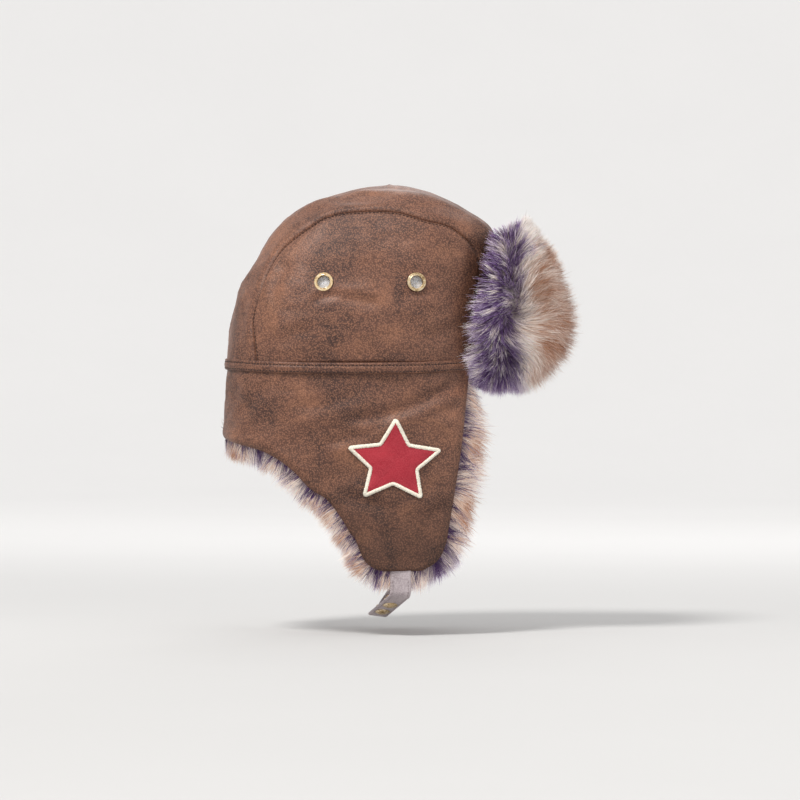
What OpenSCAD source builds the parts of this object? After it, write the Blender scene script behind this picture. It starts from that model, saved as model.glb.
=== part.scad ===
// Trapper hat: leather shell, fur lining, folded-up fur visor, ear flaps with snap straps.
// Frame: +X is the hat's front, +Y the wearer's left, +Z up. The origin is the centre of the
// head opening, level with the band seam between the crown and the skirt.

/* [Crown] */
// Plan exponent of the head opening: 2 is an ellipse, more is squarer
plan_power = 2.8; // [2.4:0.1:3.2]
// Thickness of the outer leather
leather_t = 2; // [1.2:0.1:2.6]
// Thickness of the crown lining
lining_t = 1.4; // [1:0.1:2]
// Space between the leather and the lining, where the eyelets are closed
lining_gap = 2.2; // [1.8:0.1:3]
// Height of the turned band seam
band_h = 8.8; // [6:0.2:12]
// How far the band dips at the wearer's ears
band_dip = 4.2; // [0:0.2:6]
// Height of the sweatband inside the crown
sweatband_h = 28; // [20:1:34]

/* [Eyelets] */
// Outside diameter of an eyelet's flange
eyelet_od = 16; // [14:0.5:18]
// Clear diameter of an eyelet
eyelet_id = 11.4; // [9:0.2:12]
// Height of each eyelet above the band plane
eyelet_z = 69; // [60:1:76]
// Distance of the rear eyelet behind the hat's middle
eyelet_rear_x = -23; // [-30:1:-16]
// Distance of the front eyelet ahead of the hat's middle
eyelet_front_x = 53; // [46:1:58]

/* [Skirt and fur] */
// Length of the fur where it stands past the leather's edge
fringe = 19; // [14:1:24]
// Thickness of the fur inside the leather
fur_t = 14; // [10:1:16]
// Height of the fold line at the front corner of the skirt
fold_front_z = -11; // [-14:1:-9]
// Height of the fold line where it meets the skirt's lower edge
fold_rear_z = -69; // [-72:1:-64]
// Distance from the leather's outer face to the line an ear flap turns about
fold_clear = 3.6; // [3:0.2:6]

/* [Visor] */
// Thickness of the visor's leather panel
visor_t = 2.4; // [1.6:0.1:3]
// Thickness of the stiffener between the visor's leather and its fur
stiffener_t = 1; // [0.8:0.1:1.6]
// Thickness of the visor's fur
visor_fur_t = 28; // [20:1:30]

/* [Star] */
// Distance from the star's centre to its tips
star_r = 39.6; // [30:0.2:42]
// Notch radius as a share of the tip radius
star_notch = 0.5; // [0.4:0.02:0.56]
// Width of the embroidered border
border_w = 3.4; // [2:0.2:5]

/* [Chin straps] */
// Width of a chin strap
strap_w = 17; // [14:1:20]
// Thickness of a chin strap
strap_t = 2; // [1.6:0.1:2.6]
// Diameter of a snap's cap
cap_d = 12.3; // [11:0.1:13]
// Distance between the two snaps of the right strap
snap_pitch = 16.5; // [14:0.5:20]
// Length of a strap that hangs straight down before it bends inward
strap_drop = 14; // [10:1:18]
// Angle that the strap's free length is bent inward from the vertical
strap_bend = 68; // [50:1:75]

/* [Hidden] */

// Rows up the crown: height, rear end, front end, half width
crown_rows = [
    [-1.5, -105, 105, 88], [30, -104, 109, 88.5], [62, -96, 115, 86], [92, -81, 119, 81],
    [116, -65, 116, 72], [134, -43, 92, 59], [144, -17, 72, 42], [150, 11, 49, 20], [152, 29, 33, 3]
];
// Seam between a side panel and the centre panel, in side view, from the rear band to the front
seam_points = [
    [-79, -20], [-79, 7], [-82, 38], [-75, 60], [-69, 78], [-57, 98], [-37, 114], [-18, 125],
    [10, 128.5], [38, 127.5], [60, 121], [80, 116], [97, 103], [104, 88], [103, 60], [100, 7], [100, -20]
];
// Lower edge of the skirt in side view: rear, neck, ear flap, front
skirt_edge = [
    [-107, -30], [-109.5, -52], [-106, -58.5], [-88, -66], [-68, -73], [-50, -85], [-34, -101],
    [-20, -110], [-6, -129], [8, -155], [18, -166], [36, -168.5], [58, -168.5], [70, -162],
    [78.5, -148], [81, -130], [86, -100], [91, -68], [94.5, -38], [98, -8]
];
// Visor rows from the band up: height, reach at the middle, reach at the ends, half width
visor_rows = [
    [-7, 104, 98, 40], [-5, 120, 101, 41], [6, 138, 104, 44], [30, 155, 108, 55],
    [58, 154, 112, 63], [86, 145, 117, 62], [108, 136, 123, 54]
];

skirt_top = -2.2;
skirt_front_reach = 128;
fold_front_x = 98;
fold_rear_x = -75;
fold_slope = (fold_front_z - fold_rear_z) / (fold_front_x - fold_rear_x);
half_width = crown_rows[0][3];
fold_y = half_width + fold_clear;
cut_gap = 0.6;
far = 300;
face_half = 48;
face_front = 100;
fur_rear = -92;
fur_front = 108;
brim_room_x = 85;
brim_room_z = -55;
star_x = 34.5;
star_z = -78.5;
star_lean = -2;
star_wide = 1.045;
star_tall = 0.935;
tip_round = 1.6;
lining_out = -leather_t - lining_gap;
lining_in = lining_out - lining_t;
barrel_r = eyelet_id / 2 + 0.4;
washer_t = 0.5;
screen_t = 0.4;
washer_gap = 0.75;
sweatband_t = 1.4;
sweatband_gap = 0.9;
seat_gap = 2.6;
band_t = 1.9;
eyelet_colour = [0.55, 0.47, 0.3];
leather_colour = [0.42, 0.28, 0.21];
lining_colour = [0.2, 0.16, 0.15];
fur_colour = [0.8, 0.76, 0.78];
sweatband_colour = [0.3, 0.22, 0.18];
canvas_colour = [0.85, 0.83, 0.78];

// ---- curves and surfaces ----

function signed_power(v, p) = sign(v) * pow(abs(v), p);
function smooth(t) = let (c = max(0, min(1, t))) c * c * (3 - 2 * c);

// Smooth curve through a list of points, with t from 0 to 1
function spline(p, t) =
    let (n = len(p) - 1, k = min(n - 1, floor(t * n)), f = t * n - k)
    let (a = p[max(0, k - 1)], b = p[k], c = p[k + 1], d = p[min(n, k + 2)])
    0.5 * (2 * b + (c - a) * f + (2 * a - 5 * b + 4 * c - d) * f * f + (3 * b - 3 * c + d - a) * f * f * f);

function smooth_outline(p, steps) = [for (i = [0:steps]) spline(p, i / steps)];

// Point of a squared oval: its angle, its ends along X, its half width, its exponent and its height
function oval(angle, rear, front, half, power, z) =
    let (mid = (rear + front) / 2, e = 2 / power)
    [mid + (front - rear) / 2 * signed_power(cos(angle), e), half * signed_power(sin(angle), e), z];

// The crown's outer surface: u turns round the hat, v climbs from the band to the top
crown_surface = function (u, v)
    let (r = spline(crown_rows, v))
    oval(360 * u, r[1], r[2], r[3], plan_power + (2.1 - plan_power) * v, r[0]);

// The skirt's outer surface, which flares to the rear and opens to the front below the band
function skirt_rear(z) = -105 + 0.085 * z;
function skirt_front(z) = 105 + (skirt_front_reach - 105) * smooth(-z / 60);
function skirt_half(z) = half_width + 0.035 * z;
function skirt_point(angle, z) =
    let (c = signed_power(cos(angle), 2 / plan_power), s = signed_power(sin(angle), 2 / plan_power))
    [c > 0 ? c * skirt_front(z) : -c * skirt_rear(z), skirt_half(z) * s, z];

// The visor's outer surface: u runs from the right end to the left, v from the band to the top edge
visor_surface = function (u, v)
    let (r = spline(visor_rows, v), s = sin(180 * (u - 0.5)), c = max(0, cos(180 * (u - 0.5))))
    let (round = smooth(2.5 * v), bow = (1 - round) * c * c + round * pow(c, 0.85))
    [r[2] + (r[1] - r[2]) * bow, r[3] * s, r[0] + 6 * v * c];

function unit(v) = v / max(norm(v), 1e-9);
function sample(f, nu, nv, u0 = 0, u1 = 1, v0 = 0, v1 = 1) =
    [for (j = [0:nv]) [for (i = [0:nu]) f(u0 + (u1 - u0) * i / nu, v0 + (v1 - v0) * j / nv)]];

// A grid of points moved along its own normals. A ring's first and last columns are the same.
function moved(g, d, ring = false) =
    let (nv = len(g) - 1, nu = len(g[0]) - 1)
    [for (j = [0:nv]) [for (i = [0:nu])
        let (before = i > 0 ? i - 1 : (ring ? nu - 1 : 0), after = i < nu ? i + 1 : (ring ? 1 : nu))
        let (across = g[j][after] - g[j][before], up = g[min(nv, j + 1)][i] - g[max(0, j - 1)][i])
        g[j][i] + d * unit(cross(across, up))]];

// A solid between two grids of the same size. A ring has no end walls; a lidded one closes its top.
module slab(outer, inner, ring = false, lid = false) {
    nv = len(outer) - 1;
    nu = len(outer[0]) - (ring ? 1 : 0);
    base = (nv + 1) * nu;
    points = [for (grid = [outer, inner]) for (j = [0:nv]) for (i = [0:nu - 1]) grid[j][i]];
    last = ring ? nu - 1 : nu - 2;
    function at(i, j) = j * nu + i % nu;
    function two(a, b, c, d) = [[a, b, c], [a, c, d]];
    skins = [for (j = [0:nv - 1]) for (i = [0:last])
        let (a = at(i, j), b = at(i + 1, j), c = at(i + 1, j + 1), d = at(i, j + 1))
        each concat(two(d, c, b, a), two(base + a, base + b, base + c, base + d))];
    lower = [for (i = [0:last]) each two(at(i, 0), at(i + 1, 0), base + at(i + 1, 0), base + at(i, 0))];
    upper = lid
        ? [for (i = [1:nu - 2]) let (a = at(0, nv), b = at(i, nv), c = at(i + 1, nv))
            each [[c, b, a], [base + a, base + b, base + c]]]
        : [for (i = [0:last]) each two(at(i + 1, nv), at(i, nv), base + at(i, nv), base + at(i + 1, nv))];
    ends = ring ? [] : [for (j = [0:nv - 1]) each concat(
        two(at(0, j + 1), at(0, j), base + at(0, j), base + at(0, j + 1)),
        two(at(nu - 1, j), at(nu - 1, j + 1), base + at(nu - 1, j + 1), base + at(nu - 1, j)))];
    polyhedron(points, concat(skins, lower, upper, ends), convexity = 8);
}

// Keeps a cut shell as one closed mesh
module as_mesh() { resize([0, 0, 0]) children(); }

// ---- crown ----

module crown_layer(out, in, nu = 48, nv = 13) {
    g = sample(crown_surface, nu, nv);
    slab(moved(g, out, ring = true), moved(g, in, ring = true), ring = true, lid = true);
}

module side_prism(side) {
    rotate([90, 0, 0]) translate([0, 0, side < 0 ? 20 : -far])
        linear_extrude(far - 20) polygon(smooth_outline(seam_points, 48));
}

module crown_side(side, out, in) {
    intersection() { crown_layer(out, in); side_prism(side); }
}

module crown_centre(out, in) {
    difference() { crown_layer(out, in); side_prism(-1); side_prism(1); }
}

// Height at which the crown's rows reach z, found by halving
function level(z, lo = 0, hi = 1, k = 18) =
    let (mid = (lo + hi) / 2)
    k == 0 ? mid
    : spline(crown_rows, mid)[0] < z ? level(z, mid, hi, k - 1)
    : level(z, lo, mid, k - 1);

// Point of the crown's side at x and z, on the right (side -1) or the left (side 1)
function crown_side_point(x, z, side) =
    let (v = level(z), r = spline(crown_rows, v), p = plan_power + (2.1 - plan_power) * v)
    let (across = (x - (r[1] + r[2]) / 2) / ((r[2] - r[1]) / 2))
    [x, side * r[3] * pow(1 - pow(abs(across), p), 1 / p), z];

function crown_side_normal(x, z, side) =
    let (du = crown_side_point(x + 2, z, side) - crown_side_point(x - 2, z, side))
    let (dv = crown_side_point(x, z + 2, side) - crown_side_point(x, z - 2, side))
    side * unit(cross(dv, du));

// Puts its children on the crown's side with their Z axis along the surface's normal
module at_eyelet(x, side) {
    n = crown_side_normal(x, eyelet_z, side);
    translate(crown_side_point(x, eyelet_z, side)) rotate([0, acos(n[2]), atan2(n[1], n[0])]) children();
}

module eyelet_holes(side) {
    for (x = [eyelet_rear_x, eyelet_front_x])
        at_eyelet(x, side) cylinder(h = 12, r = barrel_r + 0.1, center = true, $fn = 32);
}

module crown_side_right() {
    color(leather_colour) as_mesh() difference() { crown_side(-1, 0, -leather_t); eyelet_holes(-1); }
}

module crown_side_left() {
    color(leather_colour) as_mesh() difference() { crown_side(1, 0, -leather_t); eyelet_holes(1); }
}

module crown_centre_panel() { color(leather_colour) as_mesh() crown_centre(0, -leather_t); }

module lining_side_right() { color(lining_colour) as_mesh() crown_side(-1, lining_out, lining_in); }
module lining_side_left() { color(lining_colour) as_mesh() crown_side(1, lining_out, lining_in); }
module lining_centre_panel() { color(lining_colour) as_mesh() crown_centre(lining_out, lining_in); }

// The band seam: a turned edge that wraps the hat and dips over the ears
band_surface = function (u, v)
    let (z = 2.4 - band_dip * pow(sin(360 * u), 2) + band_h * (v - 0.5))
    let (p = z > -1.5 ? crown_surface(u, level(z)) : skirt_point(360 * u, z))
    [p[0], p[1], z];

module crown_band() {
    g = sample(band_surface, 64, 3);
    color(leather_colour) slab(moved(g, band_t, ring = true), moved(g, 0.3, ring = true), ring = true);
}

module sweatband() {
    v_top = level(sweatband_h);
    g = sample(crown_surface, 48, 3, v1 = v_top);
    outer = moved(g, lining_in - sweatband_gap, ring = true);
    inner = moved(g, lining_in - sweatband_gap - sweatband_t, ring = true);
    color(sweatband_colour) slab(outer, inner, ring = true);
}

// ---- eyelets ----

// Rolled flange outside, barrel through the leather
module eyelet(x, side) {
    color(eyelet_colour) at_eyelet(x, side) rotate_extrude($fn = 64) {
        translate([eyelet_id / 2, 0.25]) square([eyelet_od / 2 - eyelet_id / 2 - 0.5, 0.9]);
        translate([eyelet_od / 2 - 0.65, 0.7]) circle(r = 0.45, $fn = 24);
        translate([eyelet_id / 2 + 0.05, 0.9]) circle(r = 0.5, $fn = 24);
        translate([eyelet_id / 2, -leather_t - 0.3]) square([0.4, leather_t + 0.8]);
    }
}

module washer(x, side) {
    depth = leather_t + washer_t + washer_gap;
    color(eyelet_colour) at_eyelet(x, side) translate([0, 0, -depth]) difference() {
        cylinder(h = washer_t, r = eyelet_od / 2 - 0.4, $fn = 64);
        translate([0, 0, -1]) cylinder(h = 3, r = eyelet_id / 2 - 0.2, $fn = 64);
    }
}

module screen(x, side) {
    depth = leather_t + washer_t + washer_gap + screen_t + 0.1;
    color([0.72, 0.72, 0.72]) at_eyelet(x, side) translate([0, 0, -depth])
        cylinder(h = screen_t, r = eyelet_od / 2 - 0.6, $fn = 64);
}

// ---- skirt: neck curtain and ear flaps ----

skirt_surface = function (u, v) skirt_point(360 * u, skirt_top - (190 + skirt_top) * (1 - v));

module skirt_layer(out, in, nu = 56, nv = 9) {
    g = sample(skirt_surface, nu, nv);
    slab(moved(g, out, ring = true), moved(g, in, ring = true), ring = true);
}

module skirt_outline(grow = 0) {
    above = [[98, 20], [-140, 20], [-140, -30]];
    offset(delta = grow) polygon(concat(smooth_outline(skirt_edge, 60), above));
}

// Everything above the fold line, or below it
module above_fold(shift = 0) {
    polygon([[-far, fold_z(-far) + shift], [far, fold_z(far) + shift], [far, far], [-far, far]]);
}
function fold_z(x) = fold_front_z + (x - fold_front_x) * fold_slope;

module through() { rotate([90, 0, 0]) linear_extrude(2 * far, center = true) children(); }
module one_side(side, from = 0) {
    translate([-far, side < 0 ? -far - from : from, -far]) cube([2 * far, far, 2 * far]);
}

module neck_curtain_shell() {
    color(leather_colour) as_mesh() intersection() {
        skirt_layer(0, -leather_t);
        through() intersection() { skirt_outline(); above_fold(cut_gap / 2); }
    }
}

module neck_curtain_fur() {
    color(fur_colour) as_mesh() intersection() {
        skirt_layer(-leather_t - 0.3, -leather_t - fur_t);
        through() intersection() {
            skirt_outline(fringe - 4);
            above_fold(cut_gap);
            translate([-far, -far]) square([far + 94, far - 6]);
        }
    }
}

module ear_flap_shell(side) {
    color(leather_colour) as_mesh() intersection() {
        skirt_layer(0, -leather_t);
        through() difference() { skirt_outline(); above_fold(-cut_gap / 2); }
        one_side(side);
    }
}

// Corner of the ear flap's fur that gives way to the visor when it is folded down
module brim_room() {
    translate([brim_room_x, brim_room_z]) square(far);
}

module ear_flap_fur(side) {
    color(fur_colour) as_mesh() difference() {
        intersection() {
            skirt_layer(-leather_t - 0.3, -leather_t - fur_t);
            through() difference() {
                intersection() {
                    skirt_outline(fringe);
                    translate([fur_rear, -far]) square([fur_front - fur_rear, far]);
                }
                above_fold(-cut_gap);
                brim_room();
            }
            one_side(side, face_half);
        }
        strap_notch(side);
    }
}

// ---- star ----

function star_points(r, notch) = [for (k = [0:9])
    let (a = 90 + star_lean + 36 * k, q = k % 2 == 0 ? r : r * notch)
    [star_x + star_wide * q * cos(a), star_z + star_tall * q * sin(a)]];

module star_outline(inset) {
    offset(r = tip_round, $fn = 32) offset(delta = -inset - tip_round)
        polygon(star_points(star_r, star_notch));
}

module star_layer(out, in) {
    as_mesh() intersection() {
        skirt_layer(out, in);
        through() children();
        one_side(-1);
    }
}

module star_patch() { color([0.68, 0.1, 0.14]) star_layer(1.3, 0.15) star_outline(border_w + 0.1); }

module star_border() {
    color([0.93, 0.89, 0.78]) star_layer(2, 0.15) difference() { star_outline(0); star_outline(border_w); }
}

// ---- visor ----

function from_row(g, first) = [for (j = [first:len(g) - 1]) g[j]];

module visor_layer(out, in, first = 0) {
    g = sample(visor_surface, 20, 12);
    slab(from_row(moved(g, out), first), from_row(moved(g, in), first));
}

// The space that the crown and its band keep clear of the visor
module visor_seat() {
    crown = sample(crown_surface, 48, 10, v1 = 0.7);
    band = sample(band_surface, 64, 3);
    slab(moved(crown, seat_gap, ring = true), moved(crown, -18, ring = true), ring = true);
    for (dz = [-0.8, 0.8]) translate([0, 0, dz])
        slab(moved(band, seat_gap, ring = true), moved(band, -18, ring = true), ring = true);
    translate([0, -far, -far]) cube([face_front, 2 * far, far - 1]);
}

module visor_shell() {
    color(leather_colour) as_mesh() difference() { visor_layer(0, -visor_t); visor_seat(); }
}

module visor_stiffener() {
    color(canvas_colour) as_mesh() difference() {
        visor_layer(stiffener_t + 0.35, 0.35, first = 1);
        visor_seat();
    }
}

// The fur fills out from nothing at the band to its whole thickness, and past the top and side edges
module visor_fur() {
    nu = 24;
    nv = 14;
    g = sample(visor_surface, nu, nv, u0 = -0.06, u1 = 1.06, v0 = 0.1, v1 = 1.08);
    inner = moved(g, stiffener_t + 0.9);
    full = moved(g, stiffener_t + 0.9 + visor_fur_t);
    thin = moved(g, stiffener_t + 3);
    outer = [for (j = [0:nv]) [for (i = [0:nu])
        let (v = j / nv, u = min(i, nu - i) / nu)
        let (w = smooth(v / 0.31) * (0.45 + 0.55 * smooth(4 * u)) * (1 - 0.5 * smooth((v - 0.69) / 0.31)))
        thin[j][i] + (full[j][i] - thin[j][i]) * w]];
    color(fur_colour) as_mesh() difference() {
        slab(outer, inner);
        visor_seat();
    }
}

// ---- chin straps and snaps ----

strap_bend_r = 6;
strap_top_x = 40;
strap_top_z = -169.8;
strap_y = skirt_half(strap_top_z) - leather_t - strap_t / 2 - 0.4;
strap_hang_z = strap_top_z - strap_drop;

// Side view of a strap, going inward: distance in from the flap, then height
function strap_path(free) = concat(
    [[0, strap_top_z], [0, strap_hang_z]],
    [for (a = [15:15:strap_bend]) [strap_bend_r * (1 - cos(a)), strap_hang_z - strap_bend_r * sin(a)]],
    [for (s = [0.25, 0.5, 0.75, 1]) bend_end() + s * free * [sin(strap_bend), -cos(strap_bend)]]
);
function bend_end() =
    [strap_bend_r * (1 - cos(strap_bend)), strap_hang_z - strap_bend_r * sin(strap_bend)];

// How far the strap has drifted rearward, from its distance inward
function strap_drift(inward, lean) = -lean * inward;

function strap_row(path, k, side, lean, across) =
    let (a = path[max(0, k - 1)], b = path[min(len(path) - 1, k + 1)], t = unit(b - a))
    let (p = path[k], x = strap_top_x + strap_drift(p[0], lean), half = strap_w / 2)
    [for (w = [-half, half]) [x + w, side * (strap_y - p[0] - across * t[1]), p[1] - across * t[0]]];

module strap(side, free, lean) {
    path = strap_path(free);
    rows = len(path) - 1;
    outer = [for (k = [0:rows]) strap_row(path, k, side, lean, strap_t / 2)];
    inner = [for (k = [0:rows]) strap_row(path, k, side, lean, -strap_t / 2)];
    if (side < 0) slab(inner, outer); else slab(outer, inner);
}

// Notch in the fur's lower edge, which leaves the strap free to swing
module strap_notch(side) {
    translate([strap_top_x - strap_w / 2 - 5, side < 0 ? -far : 0, -far])
        cube([strap_w + 10, far, far + strap_top_z + 4]);
}

// Puts its children on the strap, their Z axis out of its outer face, s along the free length
module on_strap(side, s, lean) {
    p = bend_end() + s * [sin(strap_bend), -cos(strap_bend)];
    translate([strap_top_x + strap_drift(p[0], lean), side * (strap_y - p[0]), p[1]])
        rotate([-side * (90 + strap_bend), 0, 0]) children();
}

snap_lean = 0.42;
right_free = 46;
left_free = 34;
left_lean = 0.3;
post_r = 1.7;

module post_hole(side, s, lean) {
    on_strap(side, s, lean) cylinder(h = 12, r = post_r + 0.1, center = true, $fn = 24);
}

module chin_strap_right() {
    color(leather_colour) as_mesh() difference() {
        strap(-1, right_free, snap_lean);
        for (s = [0, 1]) post_hole(-1, snap_first + s * snap_pitch, snap_lean);
    }
}

module chin_strap_left() {
    color(leather_colour) as_mesh() difference() {
        strap(1, left_free, left_lean);
        post_hole(1, left_snap, left_lean);
    }
}

snap_first = 18;
left_snap = 22;

// Domed cap with its post through the strap
module snap_cap(side, s, lean) {
    color(eyelet_colour) on_strap(side, s, lean) {
        rotate_extrude($fn = 64) {
            intersection() {
                translate([0, strap_t / 2 + 0.1]) square([cap_d / 2, 1.9]);
                translate([0, strap_t / 2 + 2 - 11]) circle(r = 11, $fn = 96);
            }
        }
        translate([0, 0, -strap_t / 2 - 1]) cylinder(h = strap_t + 1.4, r = post_r, $fn = 24);
    }
}

// Spring socket on the strap's inner face
module snap_socket(side, s, lean) {
    color(eyelet_colour) on_strap(side, s, lean) translate([0, 0, -strap_t / 2 - 3.2])
        rotate_extrude($fn = 64) difference() {
            translate([post_r + 0.05, 0]) square([5.2 - post_r, 3.1]);
            translate([0, -0.1]) square([2.6, 2]);
        }
}

// Stud that the right strap's sockets press onto
module snap_stud_left() {
    color(eyelet_colour) on_strap(1, left_snap, left_lean) translate([0, 0, -strap_t / 2 - 3.4])
        rotate_extrude($fn = 64) difference() {
            union() {
                translate([0, 2.3]) square([5.2, 1]);
                square([2.3, 2.6]);
            }
            translate([0, 1.2]) square([post_r + 0.05, 5]);
        }
}

module snap_post_left() {
    color(eyelet_colour) on_strap(1, left_snap, left_lean) {
        translate([0, 0, strap_t / 2 + 0.1]) cylinder(h = 0.9, r = 4.6, $fn = 64);
        translate([0, 0, -strap_t / 2 - 1.6]) cylinder(h = strap_t + 2, r = post_r, $fn = 24);
    }
}

// ---- which nodes are drawn ----

crown_side_right();
crown_side_left();
crown_centre_panel();
crown_band();
lining_side_right();
lining_side_left();
lining_centre_panel();
sweatband();
eyelet(eyelet_front_x, -1);  // eyelet_front_right
eyelet(eyelet_rear_x, -1);  // eyelet_rear_right
eyelet(eyelet_front_x, 1);  // eyelet_front_left
eyelet(eyelet_rear_x, 1);  // eyelet_rear_left
washer(eyelet_front_x, -1);  // washer_front_right
washer(eyelet_rear_x, -1);  // washer_rear_right
washer(eyelet_front_x, 1);  // washer_front_left
washer(eyelet_rear_x, 1);  // washer_rear_left
screen(eyelet_front_x, -1);  // screen_front_right
screen(eyelet_rear_x, -1);  // screen_rear_right
screen(eyelet_front_x, 1);  // screen_front_left
screen(eyelet_rear_x, 1);  // screen_rear_left
neck_curtain_shell();
neck_curtain_fur();
ear_flap_shell(-1);  // ear_flap_right_shell
ear_flap_fur(-1);  // ear_flap_right_fur
ear_flap_shell(1);  // ear_flap_left_shell
ear_flap_fur(1);  // ear_flap_left_fur
star_patch();
star_border();
visor_shell();
visor_stiffener();
visor_fur();
chin_strap_right();
snap_cap(-1, snap_first, snap_lean);  // snap_cap_right_upper
snap_cap(-1, snap_first + snap_pitch, snap_lean);  // snap_cap_right_lower
snap_socket(-1, snap_first, snap_lean);  // snap_socket_right_upper
snap_socket(-1, snap_first + snap_pitch, snap_lean);  // snap_socket_right_lower
chin_strap_left();
snap_stud_left();
snap_post_left();
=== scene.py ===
"""Trapper hat: distressed leather, long-pile fur, eyelets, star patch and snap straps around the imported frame.

Lengths are in millimetres until a mesh is made. +X is the hat's front, +Y the wearer's left, +Z up.
"""

import math

import bpy
import numpy as np
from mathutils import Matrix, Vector, kdtree


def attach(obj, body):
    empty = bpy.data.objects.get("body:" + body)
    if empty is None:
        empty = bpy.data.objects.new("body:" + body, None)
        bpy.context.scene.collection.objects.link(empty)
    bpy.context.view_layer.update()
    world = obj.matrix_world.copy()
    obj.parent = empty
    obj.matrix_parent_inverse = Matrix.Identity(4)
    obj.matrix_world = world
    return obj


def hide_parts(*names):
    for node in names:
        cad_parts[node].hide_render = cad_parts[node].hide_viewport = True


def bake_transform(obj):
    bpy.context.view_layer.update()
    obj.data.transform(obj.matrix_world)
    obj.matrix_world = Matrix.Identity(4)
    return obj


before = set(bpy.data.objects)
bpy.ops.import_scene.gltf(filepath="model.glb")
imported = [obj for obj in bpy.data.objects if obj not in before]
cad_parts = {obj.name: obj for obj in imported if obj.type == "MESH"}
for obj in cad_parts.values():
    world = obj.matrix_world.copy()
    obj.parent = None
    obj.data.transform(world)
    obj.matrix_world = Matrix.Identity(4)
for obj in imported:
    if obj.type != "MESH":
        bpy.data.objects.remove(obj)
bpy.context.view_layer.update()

MM = 0.001
SIDES = {"right": -1, "left": 1}

# ---- driving dimensions, the same as the part's ----

PLAN_POWER = 2.8
TOP_POWER = 2.1
CROWN_ROWS = np.array([
    [-1.5, -105, 105, 88], [30, -104, 109, 88.5], [62, -96, 115, 86], [92, -81, 119, 81],
    [116, -65, 116, 72], [134, -43, 92, 59], [144, -17, 72, 42], [150, 11, 49, 20], [152, 29, 33, 3],
], float)
SEAM = np.array([
    [-79, 2], [-81, 20], [-82, 38], [-75, 60], [-69, 78], [-57, 98], [-37, 114], [-18, 125],
    [10, 128.5], [38, 127.5], [60, 121], [80, 116], [97, 103], [104, 88], [103, 60], [100, 30], [99, 2],
], float)
NECK_EDGE = np.array([
    [-88, -66], [-68, -73], [-50, -85], [-34, -101], [-20, -110], [-6, -129], [8, -155],
    [15, -164], [24, -168], [36, -168.5], [48, -168.5], [58, -168],
], float)
FRONT_EDGE = np.array([
    [98.5, -1.5], [97.5, -14], [94.5, -38], [91, -68], [86, -100], [81, -130], [78, -146], [71, -160], [58, -168],
], float)
VISOR_ROWS = np.array([
    [-7, 104, 98, 40], [-5, 120, 101, 41], [6, 138, 104, 44], [30, 155, 108, 55],
    [58, 154, 112, 63], [86, 145, 117, 62], [108, 136, 123, 54],
], float)
SKIRT_TOP = -1.5
REAR_LOW = -58
LEATHER = 2.0
FOLD_A = np.array([98, -11.0])
FOLD_B = np.array([-75, -69.0])
STAR_CENTRE = np.array([34.5, -78.5])
STAR_R = 39.6
STAR_SCALE = np.array([1.045, 0.935])
STAR_NOTCH = 0.5
TIP_ROUND = 2.1
STAR_LEAN = -2
BORDER_W = 3.4
EYELET_Z = 69
EYELET_X = {"rear": -23, "front": 53}
STRAP_W = 17
STRAP_T = 2
HALF_WIDTH = CROWN_ROWS[0, 3]


# ---- curves and surfaces ----

def spower(v, p):
    return np.sign(v) * np.abs(v) ** p


def smooth(t):
    c = np.clip(t, 0, 1)
    return c * c * (3 - 2 * c)


def unit(v):
    return v / np.maximum(np.linalg.norm(v, axis=-1, keepdims=True), 1e-9)


def spline(rows, t):
    """Catmull-Rom curve through rows, for t from 0 to 1."""
    rows, t = np.asarray(rows, float), np.asarray(t, float)
    n = len(rows) - 1
    k = np.clip(np.floor(t * n).astype(int), 0, n - 1)
    f = (t * n - k)[..., None]
    a, b, c, d = (rows[np.clip(k + i, 0, n)] for i in (-1, 0, 1, 2))
    return 0.5 * (2 * b + (c - a) * f + (2 * a - 5 * b + 4 * c - d) * f**2 + (3 * b - 3 * c + d - a) * f**3)


def by_length(points, count_or_t):
    """Points spaced by length along a polyline, for a count or for shares from 0 to 1."""
    t = np.linspace(0, 1, count_or_t) if np.isscalar(count_or_t) else np.asarray(count_or_t)
    run = np.concatenate([[0], np.cumsum(np.linalg.norm(np.diff(points, axis=0), axis=1))])
    return np.stack([np.interp(t * run[-1], run, points[:, i]) for i in range(points.shape[1])], -1)


def curve(rows, count_or_t):
    return by_length(spline(rows, np.linspace(0, 1, 400)), count_or_t)


LEVELS = np.linspace(0, 1, 600)
LEVEL_ROWS = spline(CROWN_ROWS, LEVELS)


def crown_row(z):
    """Rear end, front end, half width and plan exponent of the crown at height z."""
    z = np.clip(z, LEVEL_ROWS[0, 0], LEVEL_ROWS[-1, 0])
    v = np.interp(z, LEVEL_ROWS[:, 0], LEVELS)
    row = spline(CROWN_ROWS, v)
    return row[..., 1], row[..., 2], row[..., 3], PLAN_POWER + (TOP_POWER - PLAN_POWER) * v


def crown_excess(x, y, z):
    """Below 0 inside the crown, 0 on it."""
    rear, front, half, p = crown_row(z)
    across = np.abs(x - (rear + front) / 2) / ((front - rear) / 2)
    return across**p + np.abs(y / half) ** p - 1 + np.maximum(0, z - LEVEL_ROWS[-1, 0])


def crown_side(x, z, side):
    """Points of the crown's side wall at x and z."""
    rear, front, half, p = crown_row(z)
    across = np.clip(np.abs(x - (rear + front) / 2) / ((front - rear) / 2), 0, 1)
    return np.stack([x, side * half * (1 - across**p) ** (1 / p), z], -1)


def skirt_point(angle, z):
    """Points of the skirt's outer face, by plan angle in radians (0 is the front) and height."""
    c = spower(np.cos(angle), 2 / PLAN_POWER)
    front = 105 + 23 * smooth(-z / 60)
    rear = 105 - 0.085 * z
    return np.stack([
        np.where(c > 0, c * front, c * rear),
        (HALF_WIDTH + 0.035 * z) * spower(np.sin(angle), 2 / PLAN_POWER), z,
    ], -1)


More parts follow.
